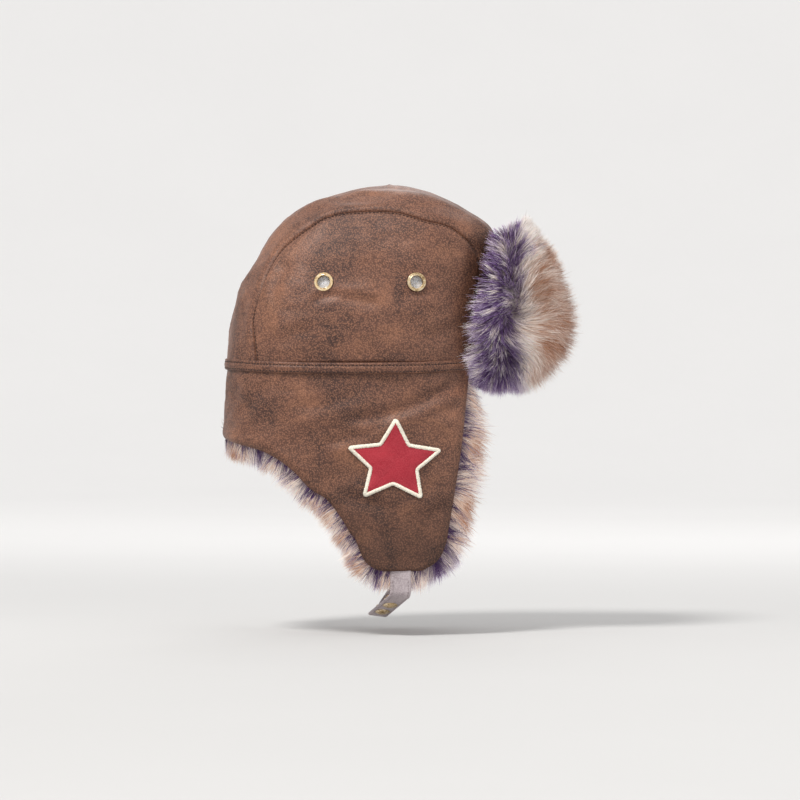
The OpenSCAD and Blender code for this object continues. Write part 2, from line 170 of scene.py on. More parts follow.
def skirt_angle(x, z):
    reach = np.where(x > 0, 105 + 23 * smooth(-z / 60), 105 - 0.085 * z)
    return np.arccos(np.clip(spower(x / reach, PLAN_POWER / 2), -1, 1))


def skirt_side(x, z, side):
    p = skirt_point(skirt_angle(x, z), z)
    return p * np.array([1, side, 1])


def visor_point(u, v):
    """Points of the visor's leather face: u from the right end to the left, v from the band up."""
    r = spline(VISOR_ROWS, v)
    s = np.sin(np.pi * (u - 0.5))
    c = np.maximum(0, np.cos(np.pi * (u - 0.5)))
    full = smooth(2.5 * v)
    bow = (1 - full) * c * c + full * c**0.85
    return np.stack([r[..., 2] + (r[..., 1] - r[..., 2]) * bow, r[..., 3] * s, r[..., 0] + 6 * v * c], -1)


# ---- grids of points ----

EDGE_STEPS = np.array([0, 0.2, 0.5, 0.95, 1.6, 2.6])


def graded(length, step):
    """Shares from 0 to 1 with close steps at both ends, for rounded edges."""
    inner = np.linspace(EDGE_STEPS[-1] + step / 2, length - EDGE_STEPS[-1] - step / 2, max(3, int(length / step)))
    return np.concatenate([EDGE_STEPS, inner, length - EDGE_STEPS[::-1]]) / length


def normals_of(grid, ring=False):
    """Unit normals of a grid [row, column], by central differences."""
    if ring:
        across = np.roll(grid, -1, 1) - np.roll(grid, 1, 1)
    else:
        across = np.gradient(grid, axis=1)
    return unit(np.cross(across, np.gradient(grid, axis=0)))


def edge_distance(grid):
    """Distance of each grid point from the nearest of the grid's four edges, measured along the grid."""
    rows = np.linalg.norm(np.diff(grid, axis=0), axis=2)
    cols = np.linalg.norm(np.diff(grid, axis=1), axis=2)
    down = np.vstack([np.zeros(grid.shape[1]), np.cumsum(rows, 0)])
    over = np.hstack([np.zeros((grid.shape[0], 1)), np.cumsum(cols, 1)])
    return np.stack([down, down[-1] - down, over, over[:, -1:] - over])


def ripples(points, wave, seed, octaves=3, count=9):
    """Smooth noise of about -1 to 1 at each point, from sines with random directions."""
    rng = np.random.default_rng(seed)
    total, weight = np.zeros(points.shape[:-1]), 0
    for o in range(octaves):
        k = unit(rng.normal(size=(count, 3))) * 2 * math.pi / (wave / 2**o) * rng.uniform(0.6, 1.3, (count, 1))
        phase = rng.uniform(0, 2 * math.pi, count)
        total += np.sin(points @ k.T + phase).sum(-1) / math.sqrt(count) * 0.55**o
        weight += 0.55**o
    return total / weight


# ---- meshes ----

def new_mesh(name, points, loops, sizes, material, uv=None):
    me = bpy.data.meshes.new(name)
    me.vertices.add(len(points))
    me.vertices.foreach_set("co", (np.asarray(points, np.float32) * MM).ravel())
    me.loops.add(len(loops))
    me.loops.foreach_set("vertex_index", np.asarray(loops, np.int32))
    me.polygons.add(len(sizes))
    me.polygons.foreach_set("loop_start", np.concatenate([[0], np.cumsum(sizes)[:-1]]).astype(np.int32))
    me.update(calc_edges=True)
    me.polygons.foreach_set("use_smooth", np.ones(len(sizes), bool))
    if uv is not None:
        layer = me.uv_layers.new(name="OFBake")
        layer.data.foreach_set("uv", np.asarray(uv, np.float32).ravel())
    mark_rest(me)
    ob = bpy.data.objects.new(name, me)
    bpy.context.scene.collection.objects.link(ob)
    me.materials.append(material)
    return ob


def mark_rest(me):
    """Stores each vertex's place, which the materials read so that they stay with the piece."""
    if "rest" in me.attributes:
        me.attributes.remove(me.attributes["rest"])
    at = me.attributes.new("rest", "FLOAT_VECTOR", "POINT")
    where = np.empty(len(me.vertices) * 3, np.float32)
    me.vertices.foreach_get("co", where)
    at.data.foreach_set("vector", where)


def quads(index):
    """Quad corners from a grid of vertex numbers."""
    return np.stack([index[:-1, :-1], index[:-1, 1:], index[1:, 1:], index[1:, :-1]], -1).reshape(-1, 4)


def closed_sheet(outer, inner):
    """Vertices and quads of a sheet whose two faces share their edge."""
    nv, nu = outer.shape[:2]
    index = np.arange(nv * nu).reshape(nv, nu)
    inside = np.zeros((nv, nu), bool)
    inside[1:-1, 1:-1] = True
    back = index.copy()
    back[inside] = nv * nu + np.arange(inside.sum())
    points = np.concatenate([outer.reshape(-1, 3), inner[inside]])
    return points, np.concatenate([quads(index), quads(back)[:, ::-1]])


def sheet_mesh(name, mid, thickness, material, flip=False, lift=None):
    """A sheet of even thickness with rounded edges, built on its middle surface."""
    n = normals_of(mid) * (-1 if flip else 1)
    if lift is not None:
        mid = mid + n * lift[..., None]
    d = edge_distance(mid).min(0)
    r = thickness / 2 * 1.15
    half = thickness / 2 * np.sqrt(np.clip(1 - (1 - np.minimum(d / r, 1)) ** 2, 0, 1))
    points, faces = closed_sheet(mid + n * half[..., None], mid - n * half[..., None])
    if flip:
        faces = faces[:, ::-1]
    return new_mesh(name, points, faces.ravel(), np.full(len(faces), 4), material)


def ring_mesh(name, section, material):
    """A closed tube from an array [section point, round the ring, 3]; both directions wrap."""
    n, m = section.shape[:2]
    i, j = np.meshgrid(np.arange(n), np.arange(m), indexing="ij")
    a = i * m + j
    b = i * m + (j + 1) % m
    c = ((i + 1) % n) * m + (j + 1) % m
    d = ((i + 1) % n) * m + j
    faces = np.stack([a, b, c, d], -1).reshape(-1, 4)
    return new_mesh(name, section.reshape(-1, 3), faces.ravel(), np.full(len(faces), 4), material)


def capsules(name, starts, ends, up, radius, material, flat=0.7, arch=0.0):
    """Short rounded threads from start to end, lying on a surface whose normal is up."""
    rings = np.array([[0, 0.0], [0.06, 0.7], [0.2, 1], [0.5, 1.05], [0.8, 1], [0.94, 0.7], [1, 0.0]])
    turn = np.linspace(0, 2 * math.pi, 6, endpoint=False)
    along = ends - starts
    side = unit(np.cross(along, up))
    top = unit(np.cross(side, along))
    t, w = rings[:, 0], rings[:, 1]
    centre = starts[:, None] + along[:, None] * t[None, :, None] + top[:, None] * (arch * 4 * t * (1 - t))[None, :, None]
    ring = (side[:, None, None] * np.cos(turn)[None, None, :, None]
            + top[:, None, None] * flat * np.sin(turn)[None, None, :, None])
    points = centre[:, :, None] + ring * (radius * np.maximum(w, 0.02))[None, :, None, None]
    n, nr, nt = points.shape[:3]
    i, j = np.meshgrid(np.arange(nr - 1), np.arange(nt), indexing="ij")
    a, b = i * nt + j, i * nt + (j + 1) % nt
    one = np.stack([a, b, b + nt, a + nt], -1).reshape(-1, 4)
    caps = np.stack([np.arange(nt)[::-1], (nr - 1) * nt + np.arange(nt)])
    base = (np.arange(n) * nr * nt)[:, None, None]
    loops = np.concatenate([(one[None] + base).ravel(), (caps[None] + base).ravel()])
    sizes = np.concatenate([np.full(n * len(one), 4), np.full(n * 2, nt)])
    return new_mesh(name, points.reshape(-1, 3), loops, sizes, material)


def stitch_line(name, line, normal, pitch, length, radius, material, sink=0.0):
    """A row of stitches along a line of points that lies on a surface."""
    run = np.concatenate([[0], np.cumsum(np.linalg.norm(np.diff(line, axis=0), axis=1))])
    count = int(run[-1] / pitch)
    at = (np.arange(count) + 0.5) * run[-1] / count

    def here(s, values):
        return np.stack([np.interp(s, run, values[:, i]) for i in range(3)], -1)

    up = unit(here(at, normal))
    a = here(at - length / 2, line) - up * sink
    b = here(at + length / 2, line) - up * sink
    return capsules(name, a, b, up, radius, material, arch=0.18)


# ---- materials ----

def node(nt, kind, links=(), **settings):
    """Adds a node. links are (input, socket or value); settings are the node's own properties."""
    n = nt.nodes.new(kind)
    for key, value in settings.items():
        setattr(n, key, value)
    for where, what in links:
        if isinstance(what, bpy.types.NodeSocket):
            nt.links.new(what, n.inputs[where])
        else:
            n.inputs[where].default_value = what
    return n


def ramp(nt, factor, stops, ease="EASE"):
    n = node(nt, "ShaderNodeValToRGB", [("Fac", factor)])
    n.color_ramp.interpolation = ease
    while len(n.color_ramp.elements) < len(stops):
        n.color_ramp.elements.new(0.5)
    for element, (at, colour) in zip(n.color_ramp.elements, stops):
        element.position = at
        element.color = (*colour, 1) if len(colour) == 3 else colour
    return n.outputs["Color"]


def grey(v):
    return (v, v, v)


def mixed(nt, factor, a, b, kind="MIX"):
    n = node(nt, "ShaderNodeMix", data_type="RGBA", blend_type=kind)
    for where, what in ((0, factor), (6, a), (7, b)):
        if isinstance(what, bpy.types.NodeSocket):
            nt.links.new(what, n.inputs[where])
        elif where == 0:
            n.inputs[where].default_value = what
        else:
            n.inputs[where].default_value = (*what, 1)
    return n.outputs[2]


def new_material(name, **values):
    mat = bpy.data.materials.new(name)
    mat.use_nodes = True
    shader = mat.node_tree.nodes["Principled BSDF"]
    for key, value in values.items():
        shader.inputs[key.replace("_", " ")].default_value = value
    return mat, mat.node_tree, shader


def rest_vector(nt):
    return node(nt, "ShaderNodeAttribute", attribute_name="rest").outputs["Vector"]


def noise(nt, vector, scale, detail=3.0, roughness=0.55, distortion=0.0):
    return node(nt, "ShaderNodeTexNoise", [
        ("Vector", vector), ("Scale", scale), ("Detail", detail), ("Roughness", roughness), ("Distortion", distortion),
    ]).outputs["Fac"]


def voronoi(nt, vector, scale, feature="F1", randomness=1.0):
    return node(nt, "ShaderNodeTexVoronoi", [("Vector", vector), ("Scale", scale), ("Randomness", randomness)],
                feature=feature).outputs["Distance"]


def bump(nt, height, strength, distance, below=None):
    links = [("Height", height), ("Strength", strength), ("Distance", distance)]
    if below is not None:
        links.append(("Normal", below))
    return node(nt, "ShaderNodeBump", links).outputs["Normal"]


def leather_material(name, dark, mid, tan, speck, contrast=1.0, grain=960.0, painted_low_shade=1.0):
    """Pull-up leather: soft smoky blotches under an even grain of light crowns and dark pits, with painted shade that
    darkens it towards the bottom.
    """
    mat, nt, shader = new_material(name, Roughness=0.58, Specular_IOR_Level=0.34)
    at = rest_vector(nt)
    blotch = noise(nt, at, 24.0, 4.0, 0.6, 0.7)
    colour = ramp(nt, blotch, [(0.36, dark), (0.52, mid), (0.68, tan)])
    stretched = node(nt, "ShaderNodeMapping", [("Vector", at), ("Rotation", (0.3, 0.5, 0.2)), ("Scale", (1.0, 1.0, 3.2))])
    streak = noise(nt, stretched.outputs["Vector"], 38.0, 4.0, 0.6, 1.2)
    worn = ramp(nt, streak, [(0.5, grey(0)), (0.74, grey(0.45 * contrast))])
    colour = mixed(nt, worn, colour, tan)
    smoke = noise(nt, at, 75.0, 3.0, 0.6, 0.5)
    shade = ramp(nt, smoke, [(0.3, grey(1 - 0.2 * contrast)), (0.62, grey(1.04))])
    colour = mixed(nt, 1.0, colour, shade, "MULTIPLY")
    cells = voronoi(nt, at, grain)
    crowns = ramp(nt, cells, [(0.1, grey(1)), (0.6, grey(0))], "LINEAR")
    dust = noise(nt, at, grain * 0.7, 2.0, 0.6)
    strength = ramp(nt, dust, [(0.36, grey(0.35)), (0.62, grey(0.65))])
    flecks = node(nt, "ShaderNodeMath", [(0, crowns), (1, strength)], operation="MULTIPLY").outputs[0]
    colour = mixed(nt, flecks, colour, speck)
    pits = ramp(nt, cells, [(0.35, grey(1)), (0.8, grey(1 - 0.28 * contrast))], "LINEAR")
    colour = mixed(nt, 1.0, colour, pits, "MULTIPLY")
    # Painted shade: the colour is darkened by rest height towards the bottom of the hat, down to painted_low_shade,
    # where less light from above falls.
    height = node(nt, "ShaderNodeSeparateXYZ", [("Vector", at)]).outputs["Z"]
    drop = node(nt, "ShaderNodeMath", [(0, height), (1, -6.0)], operation="MULTIPLY").outputs[0]
    lower = ramp(nt, drop, [(0.4, grey(1)), (0.98, grey(painted_low_shade))])
    colour = mixed(nt, 1.0, colour, lower, "MULTIPLY")
    nt.links.new(colour, shader.inputs["Base Color"])
    rough = ramp(nt, blotch, [(0.35, grey(0.62)), (0.65, grey(0.46))])
    nt.links.new(rough, shader.inputs["Roughness"])
    creased = noise(nt, at, 150.0, 4.0, 0.6, 1.5)
    normal = bump(nt, creased, 0.22, 0.001)
    pebble = node(nt, "ShaderNodeMath", [(0, 1.0), (1, cells)], operation="SUBTRACT").outputs[0]
    normal = bump(nt, pebble, 0.55, 0.0003, normal)
    nt.links.new(normal, shader.inputs["Normal"])
    return mat


def thread_material(name, colour, dark):
    mat, nt, shader = new_material(name, Roughness=0.75, Specular_IOR_Level=0.25, Sheen_Weight=0.08, Sheen_Roughness=0.5)
    at = rest_vector(nt)
    twist = noise(nt, at, 1500.0, 2.0)
    nt.links.new(ramp(nt, twist, [(0.35, dark), (0.65, colour)]), shader.inputs["Base Color"])
    nt.links.new(bump(nt, twist, 0.4, 0.0001), shader.inputs["Normal"])
    return mat


def fur_material():
    """Hair coloured along its length, from root (V 0) to tip (V 1). U picks the dye: violet, cream, tan."""
    mat, nt, shader = new_material("fur_hair", Roughness=0.7, Specular_IOR_Level=0.2, Sheen_Weight=0.1, Sheen_Roughness=0.4)
    split = node(nt, "ShaderNodeSeparateXYZ", [("Vector", node(nt, "ShaderNodeUVMap", uv_map="OFBake").outputs["UV"])])
    dye, along = split.outputs["X"], split.outputs["Y"]
    violet = ramp(nt, along, [
        (0.0, (0.025, 0.009, 0.042)), (0.45, (0.045, 0.014, 0.078)), (0.76, (0.085, 0.033, 0.145)),
        (0.9, (0.3, 0.2, 0.38)), (1.0, (0.8, 0.7, 0.88)),
    ])
    cream = ramp(nt, along, [
        (0.0, (0.24, 0.17, 0.17)), (0.2, (0.5, 0.4, 0.38)), (0.42, (0.82, 0.7, 0.62)), (0.7, (0.97, 0.87, 0.79)),
        (1.0, (1.0, 0.95, 0.9)),
    ])
    tan = ramp(nt, along, [
        (0.0, (0.18, 0.1, 0.075)), (0.25, (0.48, 0.32, 0.25)), (0.46, (0.7, 0.47, 0.34)), (0.62, (0.44, 0.18, 0.085)),
        (0.86, (0.36, 0.135, 0.06)), (1.0, (0.85, 0.64, 0.5)),
    ])
    low = ramp(nt, dye, [(0.0, grey(0)), (0.5, grey(1))], "LINEAR")
    high = ramp(nt, dye, [(0.5, grey(0)), (1.0, grey(1))], "LINEAR")
    colour = mixed(nt, high, mixed(nt, low, violet, cream), tan)
    nt.links.new(colour, shader.inputs["Base Color"])
    # Painted light: the hair glows faintly in its own colour, which lifts it out of the shade of its own hairs.
    nt.links.new(colour, shader.inputs["Emission Color"])
    shader.inputs["Emission Strength"].default_value = 0.22
    return mat


def backing_material():
    """The short dense underfur and knitted backing that shows between the hairs."""
    mat, nt, shader = new_material("fur_backing", Roughness=0.9, Sheen_Weight=0.3, Sheen_Roughness=0.5)
    at = rest_vector(nt)
    patches = noise(nt, at, 30.0, 3.0, 0.6, 0.6)
    colour = ramp(nt, patches, [(0.4, (0.2, 0.14, 0.2)), (0.53, (0.5, 0.42, 0.42)), (0.68, (0.68, 0.56, 0.48))])
    fluff = noise(nt, at, 700.0, 3.0, 0.7)
    colour = mixed(nt, 1.0, colour, ramp(nt, fluff, [(0.3, grey(0.5)), (0.65, grey(1.15))]), "MULTIPLY")
    nt.links.new(colour, shader.inputs["Base Color"])
    nt.links.new(bump(nt, fluff, 0.8, 0.0012), shader.inputs["Normal"])
    return mat


def brass_material():
    mat, nt, shader = new_material("antique_brass", Metallic=1.0, Roughness=0.34)
    at = node(nt, "ShaderNodeTexCoord").outputs["Object"]
    patina = noise(nt, at, 420.0, 4.0, 0.65, 0.6)
    colour = ramp(nt, patina, [(0.32, (0.24, 0.15, 0.07)), (0.5, (0.6, 0.45, 0.26)), (0.66, (0.9, 0.78, 0.58))])
    nt.links.new(colour, shader.inputs["Base Color"])
    nt.links.new(ramp(nt, patina, [(0.35, grey(0.5)), (0.7, grey(0.24))]), shader.inputs["Roughness"])
    nt.links.new(bump(nt, noise(nt, at, 1800.0, 2.0), 0.12, 0.00008), shader.inputs["Normal"])
    return mat


def mesh_material():
    mat, nt, shader = new_material("screen_mesh", Roughness=0.55, Specular_IOR_Level=0.4)
    at = rest_vector(nt)
    tone = noise(nt, at, 900.0, 2.0)
    nt.links.new(ramp(nt, tone, [(0.35, (0.8, 0.8, 0.83)), (0.65, (0.95, 0.95, 0.97))]), shader.inputs["Base Color"])
    return mat


def cloth_material(name, dark, light, weave=1100.0):
    mat, nt, shader = new_material(name, Roughness=0.6, Sheen_Weight=0.25, Sheen_Roughness=0.4)
    at = rest_vector(nt)
    threads = voronoi(nt, at, weave, randomness=0.25)
    tone = noise(nt, at, 45.0, 3.0)
    colour = mixed(nt, ramp(nt, threads, [(0.1, grey(1)), (0.6, grey(0))]), dark, light)
    colour = mixed(nt, 1.0, colour, ramp(nt, tone, [(0.3, grey(0.82)), (0.7, grey(1.1))]), "MULTIPLY")
    nt.links.new(colour, shader.inputs["Base Color"])
    height = node(nt, "ShaderNodeMath", [(0, 1.0), (1, threads)], operation="SUBTRACT").outputs[0]
    nt.links.new(bump(nt, height, 0.45, 0.0002), shader.inputs["Normal"])
    return mat


LEATHER_MAT = leather_material(
    "distressed_leather", (0.072, 0.033, 0.025), (0.126, 0.055, 0.036), (0.2, 0.088, 0.052), (0.37, 0.17, 0.095),
    grain=780.0, painted_low_shade=0.58)
# Painted sheen: the straps are the hat's brown leather, but they are coloured pale mauve-grey all over, with the
# grazing reflection off their face painted in.
STRAP_MAT = leather_material(
    "strap_leather_painted_sheen", (0.26, 0.21, 0.22), (0.38, 0.32, 0.335), (0.48, 0.42, 0.435), (0.56, 0.5, 0.51), 0.4, 900.0)
STAR_MAT = leather_material(
    "star_leather", (0.27, 0.01, 0.022), (0.33, 0.014, 0.028), (0.38, 0.022, 0.036), (0.44, 0.05, 0.065), 0.25, 1100.0)
SWEAT_MAT = leather_material(
    "sweatband_leather", (0.05, 0.03, 0.022), (0.075, 0.043, 0.031), (0.1, 0.058, 0.04), (0.13, 0.08, 0.055), 0.3, 1400.0)
BROWN_THREAD = thread_material("brown_thread", (0.04, 0.02, 0.016), (0.012, 0.006, 0.005))
# Painted sheen: the strap thread takes the strap's painted mauve-grey, a little darker.
STRAP_THREAD = thread_material("strap_thread", (0.33, 0.27, 0.28), (0.2, 0.16, 0.165))
CREAM_THREAD = thread_material("cream_thread", (0.9, 0.86, 0.76), (0.66, 0.6, 0.48))
HAIR_MAT = fur_material()
BACKING_MAT = backing_material()
BRASS_MAT = brass_material()
MESH_MAT = mesh_material()
LINING_MAT = cloth_material("lining_cloth", (0.022, 0.014, 0.012), (0.075, 0.05, 0.042))
CANVAS_MAT = cloth_material("interlining", (0.5, 0.47, 0.4), (0.8, 0.77, 0.7), 700.0)


# ---- crown ----

def coons(left, right, bottom, top):
    """A patch between four edges, each an array of points; bottom and top run from left to right."""
    nv, nu = len(left), len(bottom)
    u = by_share(bottom)[None, :, None] * np.ones((nv, 1, 1))
    v = by_share(left)[:, None, None] * np.ones((1, nu, 1))
    ruled = (1 - v) * bottom[None] + v * top[None] + (1 - u) * left[:, None] + u * right[:, None]
    corners = ((1 - u) * (1 - v) * bottom[0] + u * (1 - v) * bottom[-1] + (1 - u) * v * top[0] + u * v * top[-1])
    return ruled - corners


def by_share(points):
    run = np.concatenate([[0], np.cumsum(np.linalg.norm(np.diff(points, axis=0), axis=1))])
    return run / run[-1]


SEAM_CURVE = curve(SEAM, 600)
SEAM_REAR, SEAM_FRONT = 0.14, 0.785


def seam_part(a, b, shares):
    full = by_share(SEAM_CURVE)
    t = a + (b - a) * np.asarray(shares)
    return np.stack([np.interp(t, full, SEAM_CURVE[:, i]) for i in range(2)], -1)


def crown_side_grid(side, step=2.4):
    across, up = graded(200, step), graded(100, step)
    left = seam_part(0, SEAM_REAR, up)
    right = seam_part(1, SEAM_FRONT, up)
    left[0], right[0] = (-79, SKIRT_TOP), (99, SKIRT_TOP)
    top = seam_part(SEAM_REAR, SEAM_FRONT, across)
    bottom = left[0] + (right[0] - left[0]) * across[:, None]
    flat = coons(left, right, bottom, top)
    return crown_side(flat[..., 0], flat[..., 1], side)


CROWN_MIDDLE = np.array([12.0, SKIRT_TOP])


def crown_centre_grid(step=2.4):
    """Lines across the centre panel, each in a plane through the hat's middle."""
    along, across = graded(430, step), graded(130, step) * 2 - 1
    line = seam_part(0, 1, along)
    line[0], line[-1] = (-79, SKIRT_TOP), (99, SKIRT_TOP)
    half = np.abs(crown_side(line[:, 0], line[:, 1], 1)[:, 1])
    ray = unit(line - CROWN_MIDDLE)
    y = across[:, None] * half[None]
    near, far = np.zeros_like(y), np.full_like(y, 260.0)
    for _ in range(40):
        middle = (near + far) / 2
        x = CROWN_MIDDLE[0] + ray[None, :, 0] * middle
        z = CROWN_MIDDLE[1] + ray[None, :, 1] * middle
        inside = crown_excess(x, y, z) < 0
        near, far = np.where(inside, middle, near), np.where(inside, far, middle)
    return np.stack([CROWN_MIDDLE[0] + ray[None, :, 0] * near, y, CROWN_MIDDLE[1] + ray[None, :, 1] * near], -1)


def flipped(grid, middle):
    """True if the grid's normals point at the hat's middle."""
    n = normals_of(grid)
    return float((n * (grid - np.asarray(middle))).sum(-1).mean()) < 0


def seam_lift(distance):
    """Leather dips into a seam and swells beside it."""
    return -1.5 * np.exp(-((distance / 1.5) ** 2)) + 0.75 * np.exp(-(((distance - 6.5) / 4.5) ** 2))


def creases(points, strength=1.0):
    """Soft folds in worn leather."""
    wide = ripples(points * [1, 1, 1.5], 95, 11, 2)
    fine = ripples(points * [0.7, 1, 2.0], 34, 12, 3)
    return strength * (1.15 * wide + 0.5 * np.abs(fine) ** 1.5 * np.sign(fine))


HAT_MIDDLE = (0, 0, 20)


def leather_panel(name, grid, seams, lift=0.0, strength=1.0, depth=1.0):
    """One panel: its middle surface lies half the leather's thickness inside grid."""
    flip = flipped(grid, HAT_MIDDLE)
    d = edge_distance(grid)
    near_seam = np.min(d[list(seams)], axis=0)
    wrinkle = creases(grid, strength) * smooth(near_seam / 14)
    total = -LEATHER / 2 + seam_lift(near_seam) * depth + wrinkle + lift
    return sheet_mesh(name, grid, LEATHER, LEATHER_MAT, flip, total)


def crown_pieces():
    for word, side in SIDES.items():
        grid = crown_side_grid(side)
        folds = worn_folds(grid, CROWN_FOLDS) * smooth(np.min(edge_distance(grid), axis=0) / 10)
        panel = leather_panel(f"crown_side_{word}_leather", grid, (1, 2, 3), eyelet_dimples(grid, side) + folds)
        cut_eyelet_holes(panel, side)
        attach(panel, "crown")
        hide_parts(f"crown_side_{word}")
        lining = lining_panel(f"crown_lining_{word}", grid, (1, 2, 3))
        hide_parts(f"lining_side_{word}")
    grid = crown_centre_grid()
    panel = leather_panel("crown_centre_leather", grid, (0, 1), crown_ridges(grid))
    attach(panel, "crown")
    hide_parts("crown_centre_panel")
    lining = lining_panel("crown_lining_centre", grid, (0, 1))
    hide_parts("lining_centre_panel")


def cut_eyelet_holes(panel, side):
    """Punches a round hole through the leather under each eyelet."""
    for x in EYELET_X.values():
        middle, across, up, out = eyelet_place(x, side)
        turn = np.linspace(0, 2 * math.pi, 48, endpoint=False)
        ring = across * np.cos(turn)[:, None] * 6.2 + up * np.sin(turn)[:, None] * 6.2
        rows = np.array([middle + ring + out * depth for depth in (-12, 12)])
        cutter = capped_tube("cutter", rows, LEATHER_MAT)
        cut = panel.modifiers.new("cut", "BOOLEAN")
        cut.operation = "DIFFERENCE"
        cut.solver = "EXACT"
        cut.object = cutter
        bpy.context.view_layer.update()
        shape = bpy.data.meshes.new_from_object(panel.evaluated_get(bpy.context.evaluated_depsgraph_get()))
        panel.modifiers.clear()
        panel.data = shape
        bpy.data.objects.remove(cutter)
    mark_rest(panel.data)


def eyelet_dimples(grid, side):
    """The leather is drawn in round each eyelet, with a crease that sags below it."""
    total = np.zeros(grid.shape[:2])
    for x in EYELET_X.values():
        gap = np.hypot(grid[..., 0] - x, grid[..., 2] - EYELET_Z)
        total -= 0.9 * np.exp(-((gap / 11) ** 2))
        across, down = grid[..., 0] - x - 8, grid[..., 2] - (EYELET_Z - 15 - 0.006 * (grid[..., 0] - x) ** 2)
        total += 0.9 * np.exp(-((down / 5) ** 2) - (across / 30) ** 2)
    return total


def crown_ridges(grid):
    """Long soft folds of the centre panel, which run front to back beside the seams."""
    x, y = grid[..., 0], grid[..., 1]
    top = smooth((grid[..., 2] - 60) / 60)
    bow = 36 + 4 * np.sin(x / 31)
    return top * (1.1 * np.exp(-(((np.abs(y) - bow) / 7) ** 2)) - 0.9 * np.exp(-(((np.abs(y) - bow + 14) / 8) ** 2)))


def lining_panel(name, grid, seams):
    flip = flipped(grid, HAT_MIDDLE)
    d = np.min(edge_distance(grid)[list(seams)], axis=0)
    diag = 26.0
    a = (grid[..., 0] + grid[..., 2]) / diag
    b = (grid[..., 0] - grid[..., 2] + 0.6 * np.abs(grid[..., 1])) / diag
    puff = np.minimum(np.abs(np.sin(math.pi * a)), np.abs(np.sin(math.pi * b)))
    lift = -4.2 - 0.7 - 1.9 * puff**0.6 * smooth(d / 6)
    ob = sheet_mesh(name, grid, 1.2, LINING_MAT, flip, lift)
    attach(ob, "crown")
    return ob


def crown_seam_stitches():
    """Topstitching on each side panel, beside its seam."""
    for word, side in SIDES.items():
        grid = crown_side_grid(side)
        line = seam_line_on(grid, 3.2)
        normal = unit(line - np.array([10, 0, 20]))
        rows = stitch_line(f"crown_topstitch_{word}", line + normal * 0.55, normal, 3.1, 2.3, 0.34, BROWN_THREAD)
        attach(rows, "crown")


def seam_line_on(grid, inset):
    """Points at an even distance inside a side panel's seam edges."""
    d = edge_distance(grid)
    near = np.min(d[[1, 2, 3]], axis=0)
    points = []
    for col in range(grid.shape[1]):
        if d[2, -1, col] < inset * 2 or d[3, -1, col] < inset * 2:
            continue
        down = d[1, :, col]
        k = np.interp(inset, down[::-1], np.arange(grid.shape[0])[::-1])
        i = int(k)
        points.append(grid[i, col] + (grid[min(i + 1, grid.shape[0] - 1), col] - grid[i, col]) * (k - i))
    left, right = [], []
    for row in range(grid.shape[0] - 1, -1, -1):
        if d[1, row, 0] < inset * 3:
            continue
        over = d[2, row]
        k = np.interp(inset, over, np.arange(grid.shape[1]))
        i = int(k)
        left.append(grid[row, i] + (grid[row, i + 1] - grid[row, i]) * (k - i))
        over = d[3, row][::-1]
        k = grid.shape[1] - 1 - np.interp(inset, over, np.arange(grid.shape[1]))
        i = int(k)
        right.append(grid[row, i] + (grid[row, i + 1] - grid[row, i]) * (k - i))
    return np.array(left[::-1] + points + right)


# ---- band and sweatband ----

def band_centre(angle):
    return 2.4 - 4.2 * np.sin(angle) ** 2


def wall_point(angle, z):
    """The hat's outer face near the band: crown above the skirt's top, skirt below it."""
    rear, front, half, p = crown_row(np.maximum(z, SKIRT_TOP))
    mid = (rear + front) / 2
    up = np.stack([mid + (front - rear) / 2 * spower(np.cos(angle), 2 / p), half * spower(np.sin(angle), 2 / p), z], -1)
    return np.where((z > SKIRT_TOP)[..., None], up, skirt_point(angle, z))


def plan_angles(count):
    """Angles round the head opening at even lengths."""
    dense = np.linspace(0, 2 * math.pi, 4001)
    line = wall_point(dense, np.zeros_like(dense))
    run = np.concatenate([[0], np.cumsum(np.linalg.norm(np.diff(line, axis=0), axis=1))])
    return np.interp(np.arange(count) / count * run[-1], run, dense)


def plan_normal(angle):
    a = wall_point(angle + 1e-3, np.zeros_like(angle))
    b = wall_point(angle - 1e-3, np.zeros_like(angle))
    t = unit(a - b)
    return np.stack([t[:, 1], -t[:, 0], np.zeros(len(t))], -1)


def band_pieces():
    """A turned and topstitched seam: it bulges between its two edges."""
    angle = plan_angles(420)
    out = plan_normal(angle)
    half = 4.5
    profile = [(-half, 0.2), (-half - 0.2, 0.9), (-half + 0.3, 1.7), (-half + 1.3, 2.15), (-1.2, 2.5), (0, 2.6),
               (1.3, 2.35), (2.1, 1.75), (2.6, 1.95), (half - 0.8, 2.1), (half, 1.5), (half + 0.2, 0.8), (half, 0.2),
               (half - 1, -0.6), (-half + 1, -0.6)]
    wave = 0.22 * np.sin(np.arange(420) * 0.9) + 0.15 * np.sin(np.arange(420) * 0.37 + 1)
    rows = []
    for dz, lift in profile:
        z = band_centre(angle) + dz
        rows.append(wall_point(angle, z) + out * (lift + wave * (0.35 if lift > 1 else 0))[:, None])
    band = ring_mesh("band_leather", np.array(rows)[::-1], LEATHER_MAT)
    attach(band, "crown")
    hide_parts("crown_band")
    for word, dz, lift in (("upper", 2.1, 1.95), ("lower", -3.1, 2.15)):
        line = wall_point(angle, band_centre(angle) + dz) + out * lift
        line = np.vstack([line, line[:1]])
        normal = np.vstack([out, out[:1]])
        rows = stitch_line(f"band_stitches_{word}", line, normal, 3.0, 2.2, 0.36, BROWN_THREAD)
        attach(rows, "crown")


